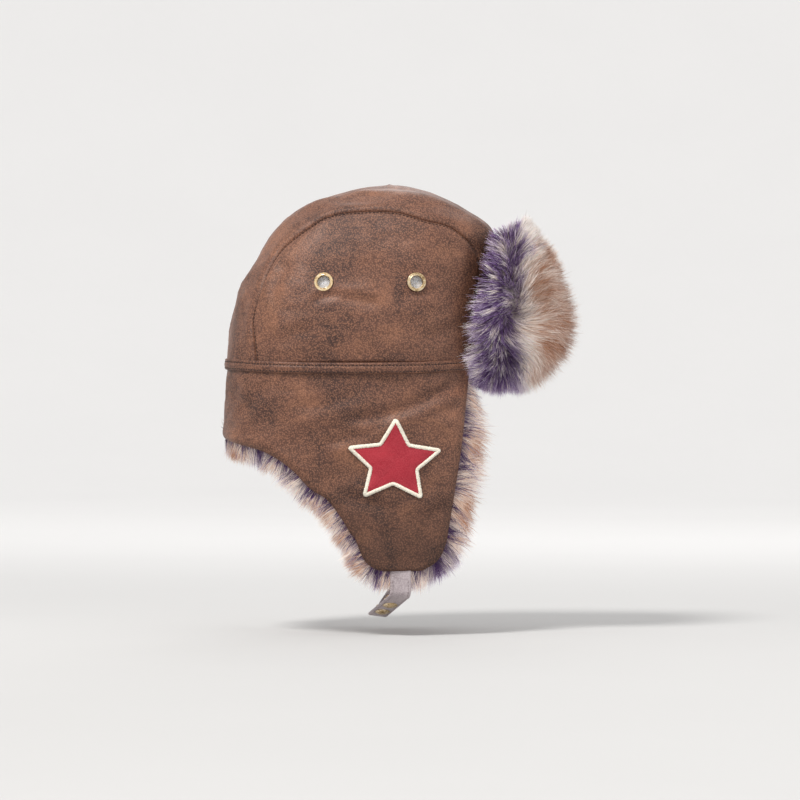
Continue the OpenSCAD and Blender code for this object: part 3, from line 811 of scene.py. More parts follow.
def sweatband_piece():
    angle = plan_angles(260)
    out = plan_normal(angle)
    profile = [(1, 0), (0, 0.6), (0.5, 1.1), (6, 1.0), (14, 0.9), (22, 1.0), (27.3, 1.1), (28, 0.6), (27, 0.0), (14, 0.0)]
    rows = [wall_point(angle, np.full(260, z)) - out * (5.9 + t) for z, t in profile]
    ob = ring_mesh("sweatband_ring", np.array(rows), SWEAT_MAT)
    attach(ob, "crown")
    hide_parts("sweatband")


# ---- skirt: neck curtain and ear flaps, one leather panel for each side ----

FOLD_DOWN = unit(np.array([FOLD_A[1] - FOLD_B[1], FOLD_B[0] - FOLD_A[0]]))
ANGLE_MM = 100.0


def skirt_edges():
    """The skirt's four edges as (angle x 100, height): rear, front, top and bottom."""
    def in_plan(rows):
        return np.stack([skirt_angle(rows[:, 0], rows[:, 1]) * ANGLE_MM, rows[:, 1]], -1)

    rear = np.array([[math.pi * ANGLE_MM, SKIRT_TOP], [math.pi * ANGLE_MM, REAR_LOW]])
    low = np.vstack([rear[1:], [[math.pi * ANGLE_MM - 12, REAR_LOW - 0.6]], in_plan(NECK_EDGE)])
    front = in_plan(curve(FRONT_EDGE, 60))
    top = np.array([rear[0], front[0]])
    return rear, front, top, low


def skirt_grid(side, step=2.6, trim=0.0):
    """The panel's outer face: rows run from the band to the lower edge, columns from the rear to the front."""
    rear, front, top, low = skirt_edges()
    down, over = graded(120, step), graded(250, step)
    flat = coons(by_length(rear, down), by_length(front, down), by_length(top, over), curve(low, over))
    if trim:
        middle = np.array([120.0, -70.0])
        flat = flat + (middle - flat) * trim
    return skirt_point(flat[..., 0] / ANGLE_MM, flat[..., 1]) * np.array([1, side, 1])


def hang(piece):
    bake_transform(piece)


SKIRT_FOLDS = [
    (86, -15, -2, -45, 5.0, 1.3), (30, -45, -22, -63, 4.5, 0.9), (94, -30, 62, -40, 4.5, 0.8), (-10, -108, 30, -118, 6.0, 1.0),
    (-70, -12, -96, -42, 5.0, 0.7), (-100, -22, -80, -46, 5.0, 0.5), (60, -128, 84, -112, 6.0, 0.8), (10, -20, -50, -34, 6.0, 0.6),
]
CROWN_FOLDS = [
    (-34, 52, -8, 58, 4.0, 1.0), (-12, 54, 22, 50, 4.5, 0.9), (40, 56, 70, 60, 4.5, 0.7), (20, 108, 48, 100, 5.0, 0.7),
    (66, 110, 90, 84, 5.0, 0.8), (-60, 20, -30, 30, 6.0, 0.6), (60, 20, 92, 34, 6.0, 0.6), (-66, 52, -52, 86, 5.0, 0.7),
]


def worn_folds(grid, folds):
    """Soft creases along lines in side view: (x, z, x, z, width, depth), a groove with a swell beside it."""
    total = np.zeros(grid.shape[:2])
    flat = grid[..., [0, 2]]
    for x0, z0, x1, z1, width, depth in folds:
        a, along = np.array([x0, z0]), np.array([x1 - x0, z1 - z0])
        length = np.linalg.norm(along)
        along = along / length
        t = (flat - a) @ along
        bow = 0.06 * length * np.sin(math.pi * np.clip(t / length, 0, 1))
        over = (flat - a) @ np.array([-along[1], along[0]]) - bow
        ends = smooth((t + width) / (3 * width)) * smooth((length + width - t) / (3 * width))
        groove = -np.exp(-((over / width) ** 2)) + 0.75 * np.exp(-(((over - 1.7 * width) / (1.2 * width)) ** 2))
        total += 1.9 * depth * groove * ends
    return total


def skirt_pieces():
    for word, side in SIDES.items():
        grid = skirt_grid(side)
        d = edge_distance(grid)
        free = np.minimum(d[1], d[3])
        wrinkle = creases(grid, 0.9) * smooth((d[0] - 2) / 12) * smooth(free / 8)
        rolled = -1.5 * np.exp(-((free / 2.2) ** 2)) + 0.5 * np.exp(-(((free - 7) / 3) ** 2))
        folds = worn_folds(grid, SKIRT_FOLDS) * smooth(np.min(d, axis=0) / 9)
        lift = -LEATHER / 2 + wrinkle + folds + rolled - 0.6 * np.exp(-((d[2] / 1.6) ** 2)) + fold_crease(grid)
        leather = sheet_mesh(f"skirt_{word}_leather", grid, LEATHER, LEATHER_MAT, flipped(grid, (0, 0, -60)), lift)
        hang(leather)
        lining = skirt_grid(side, 4.0, 0.03)
        sunk = worn_folds(lining, SKIRT_FOLDS) * 0.8 - 5.9
        pad = sheet_mesh(f"skirt_{word}_fur_backing", lining, 4.5, BACKING_MAT, flipped(grid, (0, 0, -60)), sunk)
        hang(pad)
        if side < 0:
            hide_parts("neck_curtain_shell", "ear_flap_right_shell")
            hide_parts("neck_curtain_fur", "ear_flap_right_fur")
        else:
            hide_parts("ear_flap_left_shell")
            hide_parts("ear_flap_left_fur")


def fold_crease(grid):
    """A faint worn valley where the flap is turned up."""
    from_fold = (grid[..., [0, 2]] - FOLD_A) @ FOLD_DOWN
    return -0.35 * np.exp(-(((from_fold - 1) / 5) ** 2)) + 0.3 * np.exp(-(((from_fold + 8) / 6) ** 2))


# ---- hair ----

def hairs(name, root, first, last, face, length, dye, seed, width=0.5, lock=15, gather=0.62, steps=4, settle=None):
    """Flat tapering hairs that bend from the first direction to the last and gather into locks."""
    rng = np.random.default_rng(seed)
    n = len(root)
    t = np.linspace(0, 1, steps + 1)
    way = unit(first[:, None] * (1 - t)[None, :, None] + last[:, None] * t[None, :, None])
    step = (way[:, 1:] + way[:, :-1]) / 2 * (length / steps)[:, None, None]
    line = root[:, None] + np.concatenate([np.zeros((n, 1, 3)), np.cumsum(step, 1)], 1)
    leaders = np.arange(0, n, lock)
    tree = kdtree.KDTree(len(leaders))
    for k, i in enumerate(leaders):
        tree.insert(line[i, 1], k)
    tree.balance()
    own = leaders[np.array([tree.find(p)[1] for p in line[:, 1]])]
    pull = gather * rng.uniform(0.55, 1.0, (n, 1, 1)) * (t**1.4)[None, :, None]
    line = line + (line[own] - line) * pull
    line = line + rng.normal(size=(n, 1, 3)) * (0.35 * t**2)[None, :, None] * (length / 12)[:, None, None]
    if settle:
        line = settle(line)
    dye = dye[own] * 0.7 + dye * 0.3 + rng.normal(size=n) * 0.06
    dye = np.clip(0.5 + (dye - 0.5) * 1.35, 0.01, 0.99)
    tangent = unit(np.gradient(line, axis=1))
    turned = unit(face + rng.normal(size=(n, 3)) * 0.55)
    side = unit(np.cross(tangent, turned[:, None]))
    taper = np.interp(t, [0, 0.3, 0.6, 0.85, 1], [0.9, 1.0, 0.8, 0.45, 0.08])
    half = side * (width / 2 * rng.uniform(0.7, 1.25, n)[:, None] * taper[None])[..., None]
    points = np.stack([line - half, line + half], 2)
    index = np.arange(n * (steps + 1) * 2).reshape(n, steps + 1, 2)
    faces = np.stack([index[:, :-1, 0], index[:, :-1, 1], index[:, 1:, 1], index[:, 1:, 0]], -1).reshape(-1, 4)
    u = np.repeat(dye, steps * 4)
    v = np.tile(np.stack([t[:-1], t[:-1], t[1:], t[1:]], -1).ravel(), n)
    ob = new_mesh(name, points.reshape(-1, 3), faces.ravel(), np.full(len(faces), 4), HAIR_MAT, uv=np.stack([u, v], -1))
    soft = unit(face[:, None] * 0.9 + tangent * 0.35 + turned[:, None] * 0.25)
    ob.data.normals_split_custom_set_from_vertices(np.repeat(soft[:, :, None], 2, 2).reshape(-1, 3).tolist())
    return ob


def by_roots(hair, bend, steps=4):
    """Calls bend on the hair with every hair drawn into its root, then puts every hair back as it was."""
    count = len(hair.data.vertices)
    shape = np.empty(count * 3, np.float32)
    hair.data.vertices.foreach_get("co", shape)
    each = shape.reshape(-1, (steps + 1) * 2, 3)
    hair.data.vertices.foreach_set("co", np.repeat(each[:, :1], (steps + 1) * 2, 1).ravel())
    bend(hair)
    hair.data.vertices.foreach_set("co", shape)
    hair.data.update()


def dye_at(points, base, spots, loose=0.25):
    """Dye of each hair from coloured patches (x, z, radius, dye) laid over a base value."""
    total, weight = base * loose, np.full(len(points), loose)
    for x, z, radius, value in spots:
        w = np.exp(-(((points[:, 0] - x) ** 2 + (points[:, 2] - z) ** 2) / radius**2))
        total, weight = total + w * value, weight + w
    return total / weight


DOWN = np.array([0, 0, -1.0])
FRINGE_SPOTS = [
    (112, -18, 8, 0.45), (118, -36, 5, 0.95), (108, -52, 7, 0.5), (117, -66, 5, 0.95), (110, -84, 7, 0.52),
    (116, -100, 6, 0.6), (104, -112, 5, 0.95), (110, -126, 6, 0.98), (98, -136, 6, 0.3), (104, -146, 5, 0.9),
    (94, -158, 8, 0.03), (80, -172, 8, 0.03), (98, -168, 7, 0.5), (62, -180, 6, 0.45), (42, -182, 7, 0.5),
    (20, -176, 7, 0.03), (6, -186, 6, 0.55), (-6, -172, 6, 0.92), (-18, -158, 6, 0.5), (-16, -142, 5, 0.95),
    (-28, -136, 6, 0.5), (-26, -124, 5, 0.92), (-38, -116, 6, 0.55), (-44, -102, 5, 0.05), (-58, -106, 6, 0.5),
    (-60, -92, 5, 0.06), (-74, -98, 6, 0.55), (-80, -82, 5, 0.08), (-92, -88, 6, 0.6), (-98, -80, 5, 0.92),
    (-104, -70, 6, 0.3),
]


def fringe(word, count=24000):
    """Hair that stands past the skirt's free edges, from a band of fur 12 mm deep."""
    side = SIDES[word]
    rng = np.random.default_rng(31 if side < 0 else 32)
    _, front, _, low = skirt_edges()
    edge = np.vstack([curve(low, 500), by_length(front, 300)[::-1][1:-8]])
    line = skirt_point(edge[:, 0] / ANGLE_MM, edge[:, 1]) * np.array([1, side, 1])
    run = by_share(line)
    at = rng.uniform(0.006, 0.994, count)
    here = np.stack([np.interp(at, run, line[:, i]) for i in range(3)], -1)
    ahead = np.stack([np.interp(at + 0.004, run, line[:, i]) for i in range(3)], -1)
    behind = np.stack([np.interp(at - 0.004, run, line[:, i]) for i in range(3)], -1)
    along = unit(ahead - behind)
    out = skirt_normal(here, side)
    past = unit(np.cross(along, out))
    past = past * np.sign((past * (here - np.array([20, side * 80, -60]))).sum(-1))[:, None]
    depth = rng.uniform(0, 1, count) ** 1.2 * 9.5 + 3.4
    back = rng.uniform(0, 1, count) ** 1.3 * 8
    root = here - past * back[:, None] - out * depth[:, None]
    frontal = smooth((here[:, 0] - 56) / 22)
    reach = 21 * (1 - frontal) + frontal * np.interp(here[:, 2], [-172, -155, -120, -60, -10], [19, 25, 31, 36, 36])
    reach = reach * (1 - 0.2 * (depth - 2) / 10) + back * 0.8
    reach = reach * rng.uniform(0.68, 1.12, count)
    wander = ripples(here, 26, 41, 2)[:, None] * along * 0.45
    first = unit(past * 0.9 - out * 0.25 + rng.normal(size=(count, 3)) * 0.22 + wander)
    last = unit(past * 0.75 - out * 0.1 + DOWN * 0.35 + wander * 1.3 + rng.normal(size=(count, 3)) * 0.22)
    face = unit(out * 0.8 + past * 0.5)
    tip = root + past * reach[:, None]
    dye = dye_at(tip, 0.6 + 0.45 * ripples(tip, 11, 42, 2), FRINGE_SPOTS)
    near_edge = (depth < 6.2) & (rng.uniform(0, 1, count) < 0.5)
    dye = np.where(near_edge, 0.03, dye)
    reach = np.where(near_edge, reach * 0.5, reach)

    def settle(line):
        beyond = ((line - here[:, None]) * past[:, None]).sum(-1)
        return under_leather(line, np.clip(0.8 * beyond - 1.5, 0, 14))

    hair = hairs(
        f"skirt_{word}_fringe", root, first, last, face, reach, dye, 51 if side < 0 else 52, 0.4, lock=9, gather=0.34,
        settle=settle)
    by_roots(hair, lambda piece: hang(piece))


def under_leather(line, over=0.0):
    """Move hair points that would pass through the skirt's leather back inside it."""
    z = line[..., 2]
    reach = np.where(line[..., 0] > 0, 105 + 23 * smooth(-z / 60), 105 - 0.085 * z)
    half = HALF_WIDTH + 0.035 * z
    share = (np.abs(line[..., 0] / reach) ** PLAN_POWER + np.abs(line[..., 1] / half) ** PLAN_POWER) ** (1 / PLAN_POWER)
    radius = np.linalg.norm(line[..., :2], axis=-1)
    allowed = 1 - (3.8 - over) / np.maximum(radius / np.maximum(share, 1e-6), 1)
    pull = np.minimum(1, allowed / np.maximum(share, 1e-6))
    return line * np.stack([pull, pull, np.ones_like(pull)], -1)


def skirt_normal(points, side):
    angle = skirt_angle(points[:, 0], points[:, 2])
    e = 0.01
    a = skirt_point(angle + e, points[:, 2]) - skirt_point(angle - e, points[:, 2])
    n = np.stack([a[:, 1], -a[:, 0], np.zeros(len(a))], -1)
    n = unit(n) * np.array([1, side, 1])
    return n


def inner_fur(word, count=9000):
    """Shorter pile all over the inside of the skirt."""
    side = SIDES[word]
    rng = np.random.default_rng(61 if side < 0 else 62)
    grid = skirt_grid(side, 2.6)
    middle = (grid[1:, 1:] + grid[:-1, :-1]) / 2
    area = np.linalg.norm(np.cross(grid[1:, 1:] - grid[:-1, :-1], grid[1:, :-1] - grid[:-1, 1:]), axis=2) / 2
    pick = rng.choice(area.size, count, p=(area / area.sum()).ravel())
    j, i = np.unravel_index(pick, area.shape)
    a, b = rng.uniform(0, 1, (count, 1)), rng.uniform(0, 1, (count, 1))
    here = (grid[j, i] * (1 - a) + grid[j, i + 1] * a) * (1 - b) + (grid[j + 1, i] * (1 - a) + grid[j + 1, i + 1] * a) * b
    here = here[here[:, 2] < -7]
    n = len(here)
    out = skirt_normal(here, side)
    root = here - out * 5.5
    swirl = np.stack([ripples(here, 60, s, 2) for s in (71, 72, 73)], -1)
    first = unit(-out + swirl * 0.5 + rng.normal(size=(n, 3)) * 0.25)
    last = unit(-out * 0.45 + swirl * 0.9 + DOWN * 0.55 + rng.normal(size=(n, 3)) * 0.3)
    length = rng.uniform(11, 17, n)
    dye = np.clip(0.42 + 0.5 * ripples(here, 34, 74, 2), 0, 1)
    hair = hairs(
        f"skirt_{word}_pile", root, first, last, -out, length, dye, 81 if side < 0 else 82, 1.0, lock=12, gather=0.5,
        settle=under_leather)
    by_roots(hair, lambda piece: hang(piece))


# ---- visor ----

def crown_front(y, z):
    """X of the hat's front wall at y and z."""
    rear, front, half, p = crown_row(np.maximum(z, SKIRT_TOP))
    across = np.clip(np.abs(y) / half, 0, 0.999)
    return (rear + front) / 2 + (front - rear) / 2 * (1 - across**p) ** (1 / p)


def clear_of_crown(points, gap=3.2):
    """Moves points ahead of the crown and its band."""
    wall = crown_front(points[..., 1], points[..., 2]) + gap
    blocked = points[..., 2] > -3
    x = np.where(blocked, np.maximum(points[..., 0], wall), points[..., 0])
    return np.concatenate([x[..., None], points[..., 1:]], -1)


def visor_grid(step=2.6, v0=0.0):
    across = graded(180, step)
    up = v0 + (1 - v0) * graded(130, step)
    dense = np.linspace(0, 1, 500)
    rows = [by_length(visor_point(dense, np.full(500, v)), across) for v in up]
    return clear_of_crown(np.array(rows))


def visor_pieces():
    grid = visor_grid()
    flip = flipped(grid, (60, 0, 50))
    d = edge_distance(grid)
    grid[..., 2] += 2.9 * np.exp(-((d[0] / 5) ** 2))
    d = d.min(0)
    lift = -1.2 + creases(grid, 0.6) * smooth(d / 10) - 0.5 * np.exp(-((d / 1.5) ** 2))
    leather = sheet_mesh("visor_leather", grid, 2.0, LEATHER_MAT, flip, lift)
    sewn_to_band(leather)
    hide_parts("visor_shell")
    back = visor_grid(4.0, 0.15)
    canvas = sheet_mesh("visor_interlining", back, 1.0, CANVAS_MAT, flip, np.full(back.shape[:2], 0.75))
    sewn_to_band(canvas)
    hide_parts("visor_stiffener")
    pad = visor_grid(4.0, 0.15)
    d = edge_distance(pad).min(0)
    puff = 3.3 + 2.5 * smooth(d / 25) + 1.0 * ripples(pad, 30, 91, 2)
    backing = sheet_mesh("visor_fur_backing", pad, 3.5, BACKING_MAT, flip, puff)
    sewn_to_band(backing)
    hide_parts("visor_fur")
    line = visor_stitch_line(grid, 4.5)
    inward = unit(np.array([60, 0, 50]) - line)
    stitches = stitch_line("visor_stitches", line + inward * 2.3, inward, 3.2, 2.3, 0.34, BROWN_THREAD)
    sewn_to_band(stitches)


def sewn_to_band(piece):
    """Bakes the piece's transform into its mesh."""
    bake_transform(piece)


def visor_stitch_line(grid, inset):
    d = edge_distance(grid)
    row = int(np.argmin(np.abs(d[1, :, grid.shape[1] // 2] - inset)))
    left = int(np.argmin(np.abs(d[2, grid.shape[0] // 2] - inset)))
    right = int(np.argmin(np.abs(d[3, grid.shape[0] // 2] - inset)))
    return np.vstack([grid[8:row, left], grid[row, left:right + 1], grid[8:row, right][::-1]])


VISOR_SPOTS = [
    (122, 12, 12, 0.01), (114, 42, 11, 0.04), (128, 64, 8, 0.12), (108, 74, 7, 0.1), (136, 100, 8, 0.04),
    (120, 98, 6, 0.35), (122, 124, 8, 0.48), (150, 118, 8, 0.52), (147, 52, 5, 0.5), (147, 20, 6, 0.5),
    (157, 70, 8, 0.97), (168, 92, 7, 0.97), (164, 108, 5, 0.6), (170, 74, 4, 0.5), (182, 38, 8, 0.95),
    (163, 42, 6, 0.62), (166, 14, 6, 0.95), (154, 6, 6, 0.55), (176, 56, 6, 0.75), (156, -8, 7, 0.75),
]


def visor_hair(word, count=24000):
    """Long pile that sprays out of one half of the visor's front and curls round its edges."""
    rng = np.random.default_rng(101 if word == "right" else 102)
    u = rng.uniform(0, 0.5, count) + (0 if word == "right" else 0.5)
    dense = np.linspace(0, 1, 500)
    v = rng.uniform(0.09, 1.0, count)
    rows = np.array([by_share(visor_point(dense, np.full(500, k))) for k in np.linspace(0, 1, 21)])
    k = np.clip(np.round(v * 20).astype(int), 0, 20)
    u = np.array([np.interp(a, rows[b], dense) for a, b in zip(u, k)])
    here = clear_of_crown(visor_point(u, v))
    e = 0.004
    du = visor_point(np.clip(u + e, 0, 1), v) - visor_point(np.clip(u - e, 0, 1), v)
    dv = visor_point(u, np.clip(v + e, 0, 1)) - visor_point(u, np.clip(v - e, 0, 1))
    out = unit(np.cross(du, dv))
    out = out * np.sign((out * (here - np.array([60, 0, 50]))).sum(-1))[:, None]
    root = here + out * 3.0
    rim = np.minimum(u, 1 - u)
    side = np.where(u < 0.5, -1.0, 1.0)
    rearward = smooth(1 - rim / 0.2)
    swirl = np.stack([ripples(here, 34, s, 2) for s in (111, 112, 113)], -1)
    rise = smooth((v - 0.45) / 0.5)
    fall = smooth((0.46 - v) / 0.32)
    spray = np.stack([-1.0 * rearward, side * 0.3 * rearward, 0.7 * rise + 0.3 * fall], -1)
    first = unit(out + spray * 0.6 + swirl * 0.3 + rng.normal(size=(count, 3)) * 0.2)
    last = unit(out * 0.75 + spray * 1.15 + swirl * 0.6 + DOWN * (0.26 - 0.24 * fall)[:, None] + rng.normal(size=(count, 3)) * 0.24)
    length = 27 * (0.42 + 0.58 * smooth((v - 0.05) / 0.3)) * (1 - 0.42 * smooth((v - 0.72) / 0.28)) * rng.uniform(0.7, 1.08, count)
    length = length * (1 - 0.12 * rearward) * (1 + 0.3 * np.exp(-(((v - 0.46) / 0.14) ** 2)) * smooth(rim / 0.3))
    guard = rng.uniform(0, 1, count) < 0.1
    tip = root + unit(first + last) * length[:, None] * 0.85
    band = np.interp(tip[:, 0], [94, 104, 114, 136, 145, 151, 158], [0.24, 0.08, 0.0, 0.04, 0.42, 0.54, 0.86])
    mottle = np.interp(tip[:, 0], [110, 140, 155], [0.12, 0.2, 0.5])
    dye = dye_at(tip, band + mottle * ripples(tip, 12, 114, 2), VISOR_SPOTS)
    dye = np.where(guard, 0.5, dye)
    length = np.where(guard, length * 1.12, length)
    face = unit(out + np.array([0, 0, 0.25]))
    hair = hairs(f"visor_hair_{word}", root, first, last, face, length, dye, 121, 0.36, lock=9, gather=0.4)
    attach(hair, "visor")


# ---- star patch ----

def star_outline(r, step=0.5):
    """Points round a five-pointed star with rounded tips, in X and Z."""
    half = math.atan2(STAR_NOTCH * math.sin(math.pi / 5), 1 - STAR_NOTCH * math.cos(math.pi / 5))
    corners = []
    for k in range(6):
        a = math.radians(90 + STAR_LEAN + 72 * k)
        middle = (r - TIP_ROUND / math.sin(half)) * np.array([math.cos(a), math.sin(a)])
        for turn in np.linspace(half - math.pi / 2, math.pi / 2 - half, 9)[4 if k == 0 else 0:5 if k == 5 else 9]:
            corners.append(middle + TIP_ROUND * np.array([math.cos(a + turn), math.sin(a + turn)]))
        if k < 5:
            a += math.pi / 5
            corners.append(r * STAR_NOTCH * np.array([math.cos(a), math.sin(a)]))
    corners = np.array(corners) * STAR_SCALE
    length = np.linalg.norm(np.diff(corners, axis=0), axis=1).sum()
    points = by_length(corners, int(length / step))[:-1]
    for _ in range(4):
        points = (np.roll(points, 1, 0) + 2 * points + np.roll(points, -1, 0)) / 4
    return points


def on_skirt(flat, side, height):
    """Points at a height above the skirt's leather, from X and Z."""
    at = skirt_side(flat[..., 0] + STAR_CENTRE[0], flat[..., 1] + STAR_CENTRE[1], side)
    leather = worn_folds(at[None], SKIRT_FOLDS)[0] + creases(at, 0.9)
    return at + skirt_normal(at, side) * (leather + height)[..., None]


def capped_tube(name, rows, material):
    """A closed skin over rows of points, each row a ring; the first and last are closed with flat caps."""
    n, m = rows.shape[:2]
    i, j = np.meshgrid(np.arange(n - 1), np.arange(m), indexing="ij")
    a, b = i * m + j, i * m + (j + 1) % m
    faces = np.stack([a, b, b + m, a + m], -1).reshape(-1, 4)
    caps = np.stack([np.arange(m)[::-1], (n - 1) * m + np.arange(m)])
    loops = np.concatenate([faces.ravel(), caps.ravel()])
    sizes = np.concatenate([np.full(len(faces), 4), [m, m]])
    return new_mesh(name, rows.reshape(-1, 3), loops, sizes, material)


def star_pieces():
    side = -1
    edge = star_outline(STAR_R - 0.9)
    shares = [(0.06, 0.1), (0.97, 0.1), (1.0, 0.5), (0.995, 1.0), (0.97, 1.35), (0.93, 1.6), (0.87, 1.85), (0.78, 2.1),
              (0.65, 2.3), (0.5, 2.42), (0.35, 2.5), (0.2, 2.52), (0.06, 2.55)]
    rows = []
    for share, height in shares:
        flat = edge * share
        dent = 0.4 * ripples(np.stack([flat[:, 0], 0 * flat[:, 0], flat[:, 1]], -1), 22, 131, 2) * smooth((1 - share) * 5)
        rows.append(on_skirt(flat, side, height + dent))
    patch = capped_tube("star_patch_leather", np.array(rows)[:, ::-1], STAR_MAT)
    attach(patch, "ear_flap_right")
    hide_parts("star_patch")
    edge = star_outline(STAR_R + 0.7, 0.46)
    along = np.roll(edge, -3, 0) - np.roll(edge, 3, 0)
    for _ in range(6):
        along = (np.roll(along, 1, 0) + along + np.roll(along, -1, 0)) / 3
    along = along / np.linalg.norm(along, axis=1, keepdims=True)
    outward = np.stack([along[:, 1], -along[:, 0]], -1)
    rng = np.random.default_rng(132)
    jitter = rng.uniform(-0.18, 0.18, (len(edge), 2))
    a = on_skirt(edge + outward * (0.25 + jitter[:, :1]), side, np.full(len(edge), 0.75))
    b = on_skirt(edge - outward * (BORDER_W - 0.5 + jitter[:, 1:]), side, np.full(len(edge), 1.75))
    up = skirt_normal(a, side)
    border = capsules("star_satin_border", a, b, up, 0.36, CREAM_THREAD, flat=0.9, arch=0.95)
    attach(border, "ear_flap_right")
    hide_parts("star_border")


# ---- eyelets and screens ----

def eyelet_place(x, side):
    at = crown_side(np.array([x - 2.0, x + 2.0, x, x]), np.array([EYELET_Z, EYELET_Z, EYELET_Z - 2.0, EYELET_Z + 2.0]), side)
    middle = crown_side(np.array([x * 1.0]), np.array([EYELET_Z * 1.0]), side)[0]
    across = unit(at[1] - at[0])
    out = unit(np.cross(across, at[3] - at[2]))
    out = out * np.sign(out[1] * side)
    return middle, across, unit(np.cross(out, across)), out


def screen_pieces():
    """Woven wires that pass over and under each other behind the eyelet."""
    pitch, radius, wire, depth = 0.92, 7.2, 0.27, -LEATHER - 1.2
    for word, side in SIDES.items():
        for place, x in EYELET_X.items():
            middle, across, up, out = eyelet_place(x, side)
            marks = np.arange(-7, 8) * pitch
            parts = []
            for k, offset in enumerate(marks):
                reach = math.sqrt(radius**2 - offset**2)
                s = np.linspace(-reach, reach, 33)
                wave = 0.22 * np.cos(math.pi * s / pitch + math.pi * (k % 2))
                for a, b, w in ((across, up, wave), (up, across, -wave)):
                    parts.append((middle + a * s[:, None] + b * offset + out * (depth + w)[:, None], a, b))
            turn = np.radians([45, 135, 225, 315])
            points = np.array([
                line[:, None] + wire * (b * np.cos(turn)[:, None] + out * np.sin(turn)[:, None])[None]
                for line, a, b in parts
            ])
            n, m = points.shape[:2]
            i, j = np.meshgrid(np.arange(m - 1), np.arange(4), indexing="ij")
            one = np.stack([i * 4 + j, i * 4 + (j + 1) % 4, (i + 1) * 4 + (j + 1) % 4, (i + 1) * 4 + j], -1).reshape(-1, 4)
            one = np.vstack([one, [[3, 2, 1, 0]], [[(m - 1) * 4 + q for q in range(4)]]])
            loops = (one[None] + (np.arange(n) * m * 4)[:, None, None]).ravel()
            ob = new_mesh(f"screen_wires_{place}_{word}", points.reshape(-1, 3), loops, np.full(len(loops) // 4, 4), MESH_MAT)
            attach(ob, "crown")
            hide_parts(f"screen_{place}_{word}")


# ---- chin straps ----

STRAP_TOP_X, STRAP_TOP_Z, STRAP_Y = 40.0, -169.8, 78.66
STRAP_DROP, STRAP_BEND, STRAP_BEND_R = 14.0, math.radians(68), 6.0
STRAPS = {"right": (46.0, 0.42, 26.0), "left": (34.0, 0.3, 14.0)}
STRAP_TUCK = 12.0


def strap_line(free, count=90):
    """Side view of a strap as (distance inward, height), from inside the flap to its free end."""
    bend = np.linspace(0, STRAP_BEND, 14)
    hang_z = STRAP_TOP_Z - STRAP_DROP
    arc = np.stack([STRAP_BEND_R * (1 - np.cos(bend)), hang_z - STRAP_BEND_R * np.sin(bend)], -1)
    end = arc[-1] + free * np.array([math.sin(STRAP_BEND), -math.cos(STRAP_BEND)])
    return by_length(np.vstack([[[0, STRAP_TOP_Z + STRAP_TUCK]], arc, [end]]), count)


def strap_pieces():
    for word, side in SIDES.items():
        free, lean, _ = STRAPS[word]
        line = strap_line(free)
        x = STRAP_TOP_X - lean * line[:, 0]
        centre = np.stack([x, side * (STRAP_Y - line[:, 0]), line[:, 1]], -1)
        tangent = unit(np.gradient(centre, axis=0))
        across = unit(np.cross(np.cross(tangent, [1.0, 0, 0]), tangent) + [1e-6, 0, 0])
        normal = unit(np.cross(tangent, across)) * -side
        run = by_share(line) * np.linalg.norm(np.diff(line, axis=0), axis=1).sum()
        from_end = run[-1] - run
        half = STRAP_W / 2 * (0.86 + 0.14 * np.sqrt(np.clip(1 - (1 - np.minimum(from_end / 1.6, 1)) ** 2, 0, 1)))
        edge = STRAP_W / 2 - np.array([0, 0.3, 0.9, 1.8, 4.5, 8.5])
        shape = [(-1, 0.0), (-0.985, 0.45), (-0.95, 0.8), (-0.9, 1.0), (-0.72, 1.0), (-0.6, 0.9), (0, 0.96), (0.6, 0.9),
                 (0.72, 1.0), (0.9, 1.0), (0.95, 0.8), (0.985, 0.45), (1, 0.0), (0.985, -0.45), (0.95, -0.8), (0.9, -1.0),
                 (0, -0.95), (-0.9, -1.0), (-0.95, -0.8), (-0.985, -0.45)]
        rows = np.array([
            c + a * (h * s) + n * (STRAP_T / 2 * q) for c, a, n, h in zip(centre, across, normal, half) for s, q in shape
        ]).reshape(len(centre), len(shape), 3)
        strap = capped_tube(f"chin_strap_{word}_leather", rows if side < 0 else rows[:, ::-1], STRAP_MAT)
        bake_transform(strap)
        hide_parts(f"chin_strap_{word}")
        keep = (run > STRAP_TUCK + 5) & (from_end > 6)
        for edge_word, s in (("front", 1), ("rear", -1)):
            for face_word, q in (("outer", 1), ("inner", -1)):
                path = centre[keep] + across[keep] * (STRAP_W / 2 - 2.2) * s + normal[keep] * (STRAP_T / 2 * q)
                rows = stitch_line(f"strap_stitches_{word}_{edge_word}_{face_word}", path, normal[keep] * q, 2.9, 2.1, 0.3, STRAP_THREAD)
                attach(rows, f"chin_strap_{word}")


# ---- everything ----

crown_pieces()
crown_seam_stitches()
band_pieces()
sweatband_piece()
skirt_pieces()
for word in SIDES:
    fringe(word)
    inner_fur(word)
visor_pieces()
for word in SIDES:
    visor_hair(word)
star_pieces()
screen_pieces()
strap_pieces()

for name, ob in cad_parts.items():
    if name.startswith(("eyelet", "washer", "snap")):
        ob.data.materials.clear()
        ob.data.materials.append(BRASS_MAT)


# ---- floor, light and camera ----

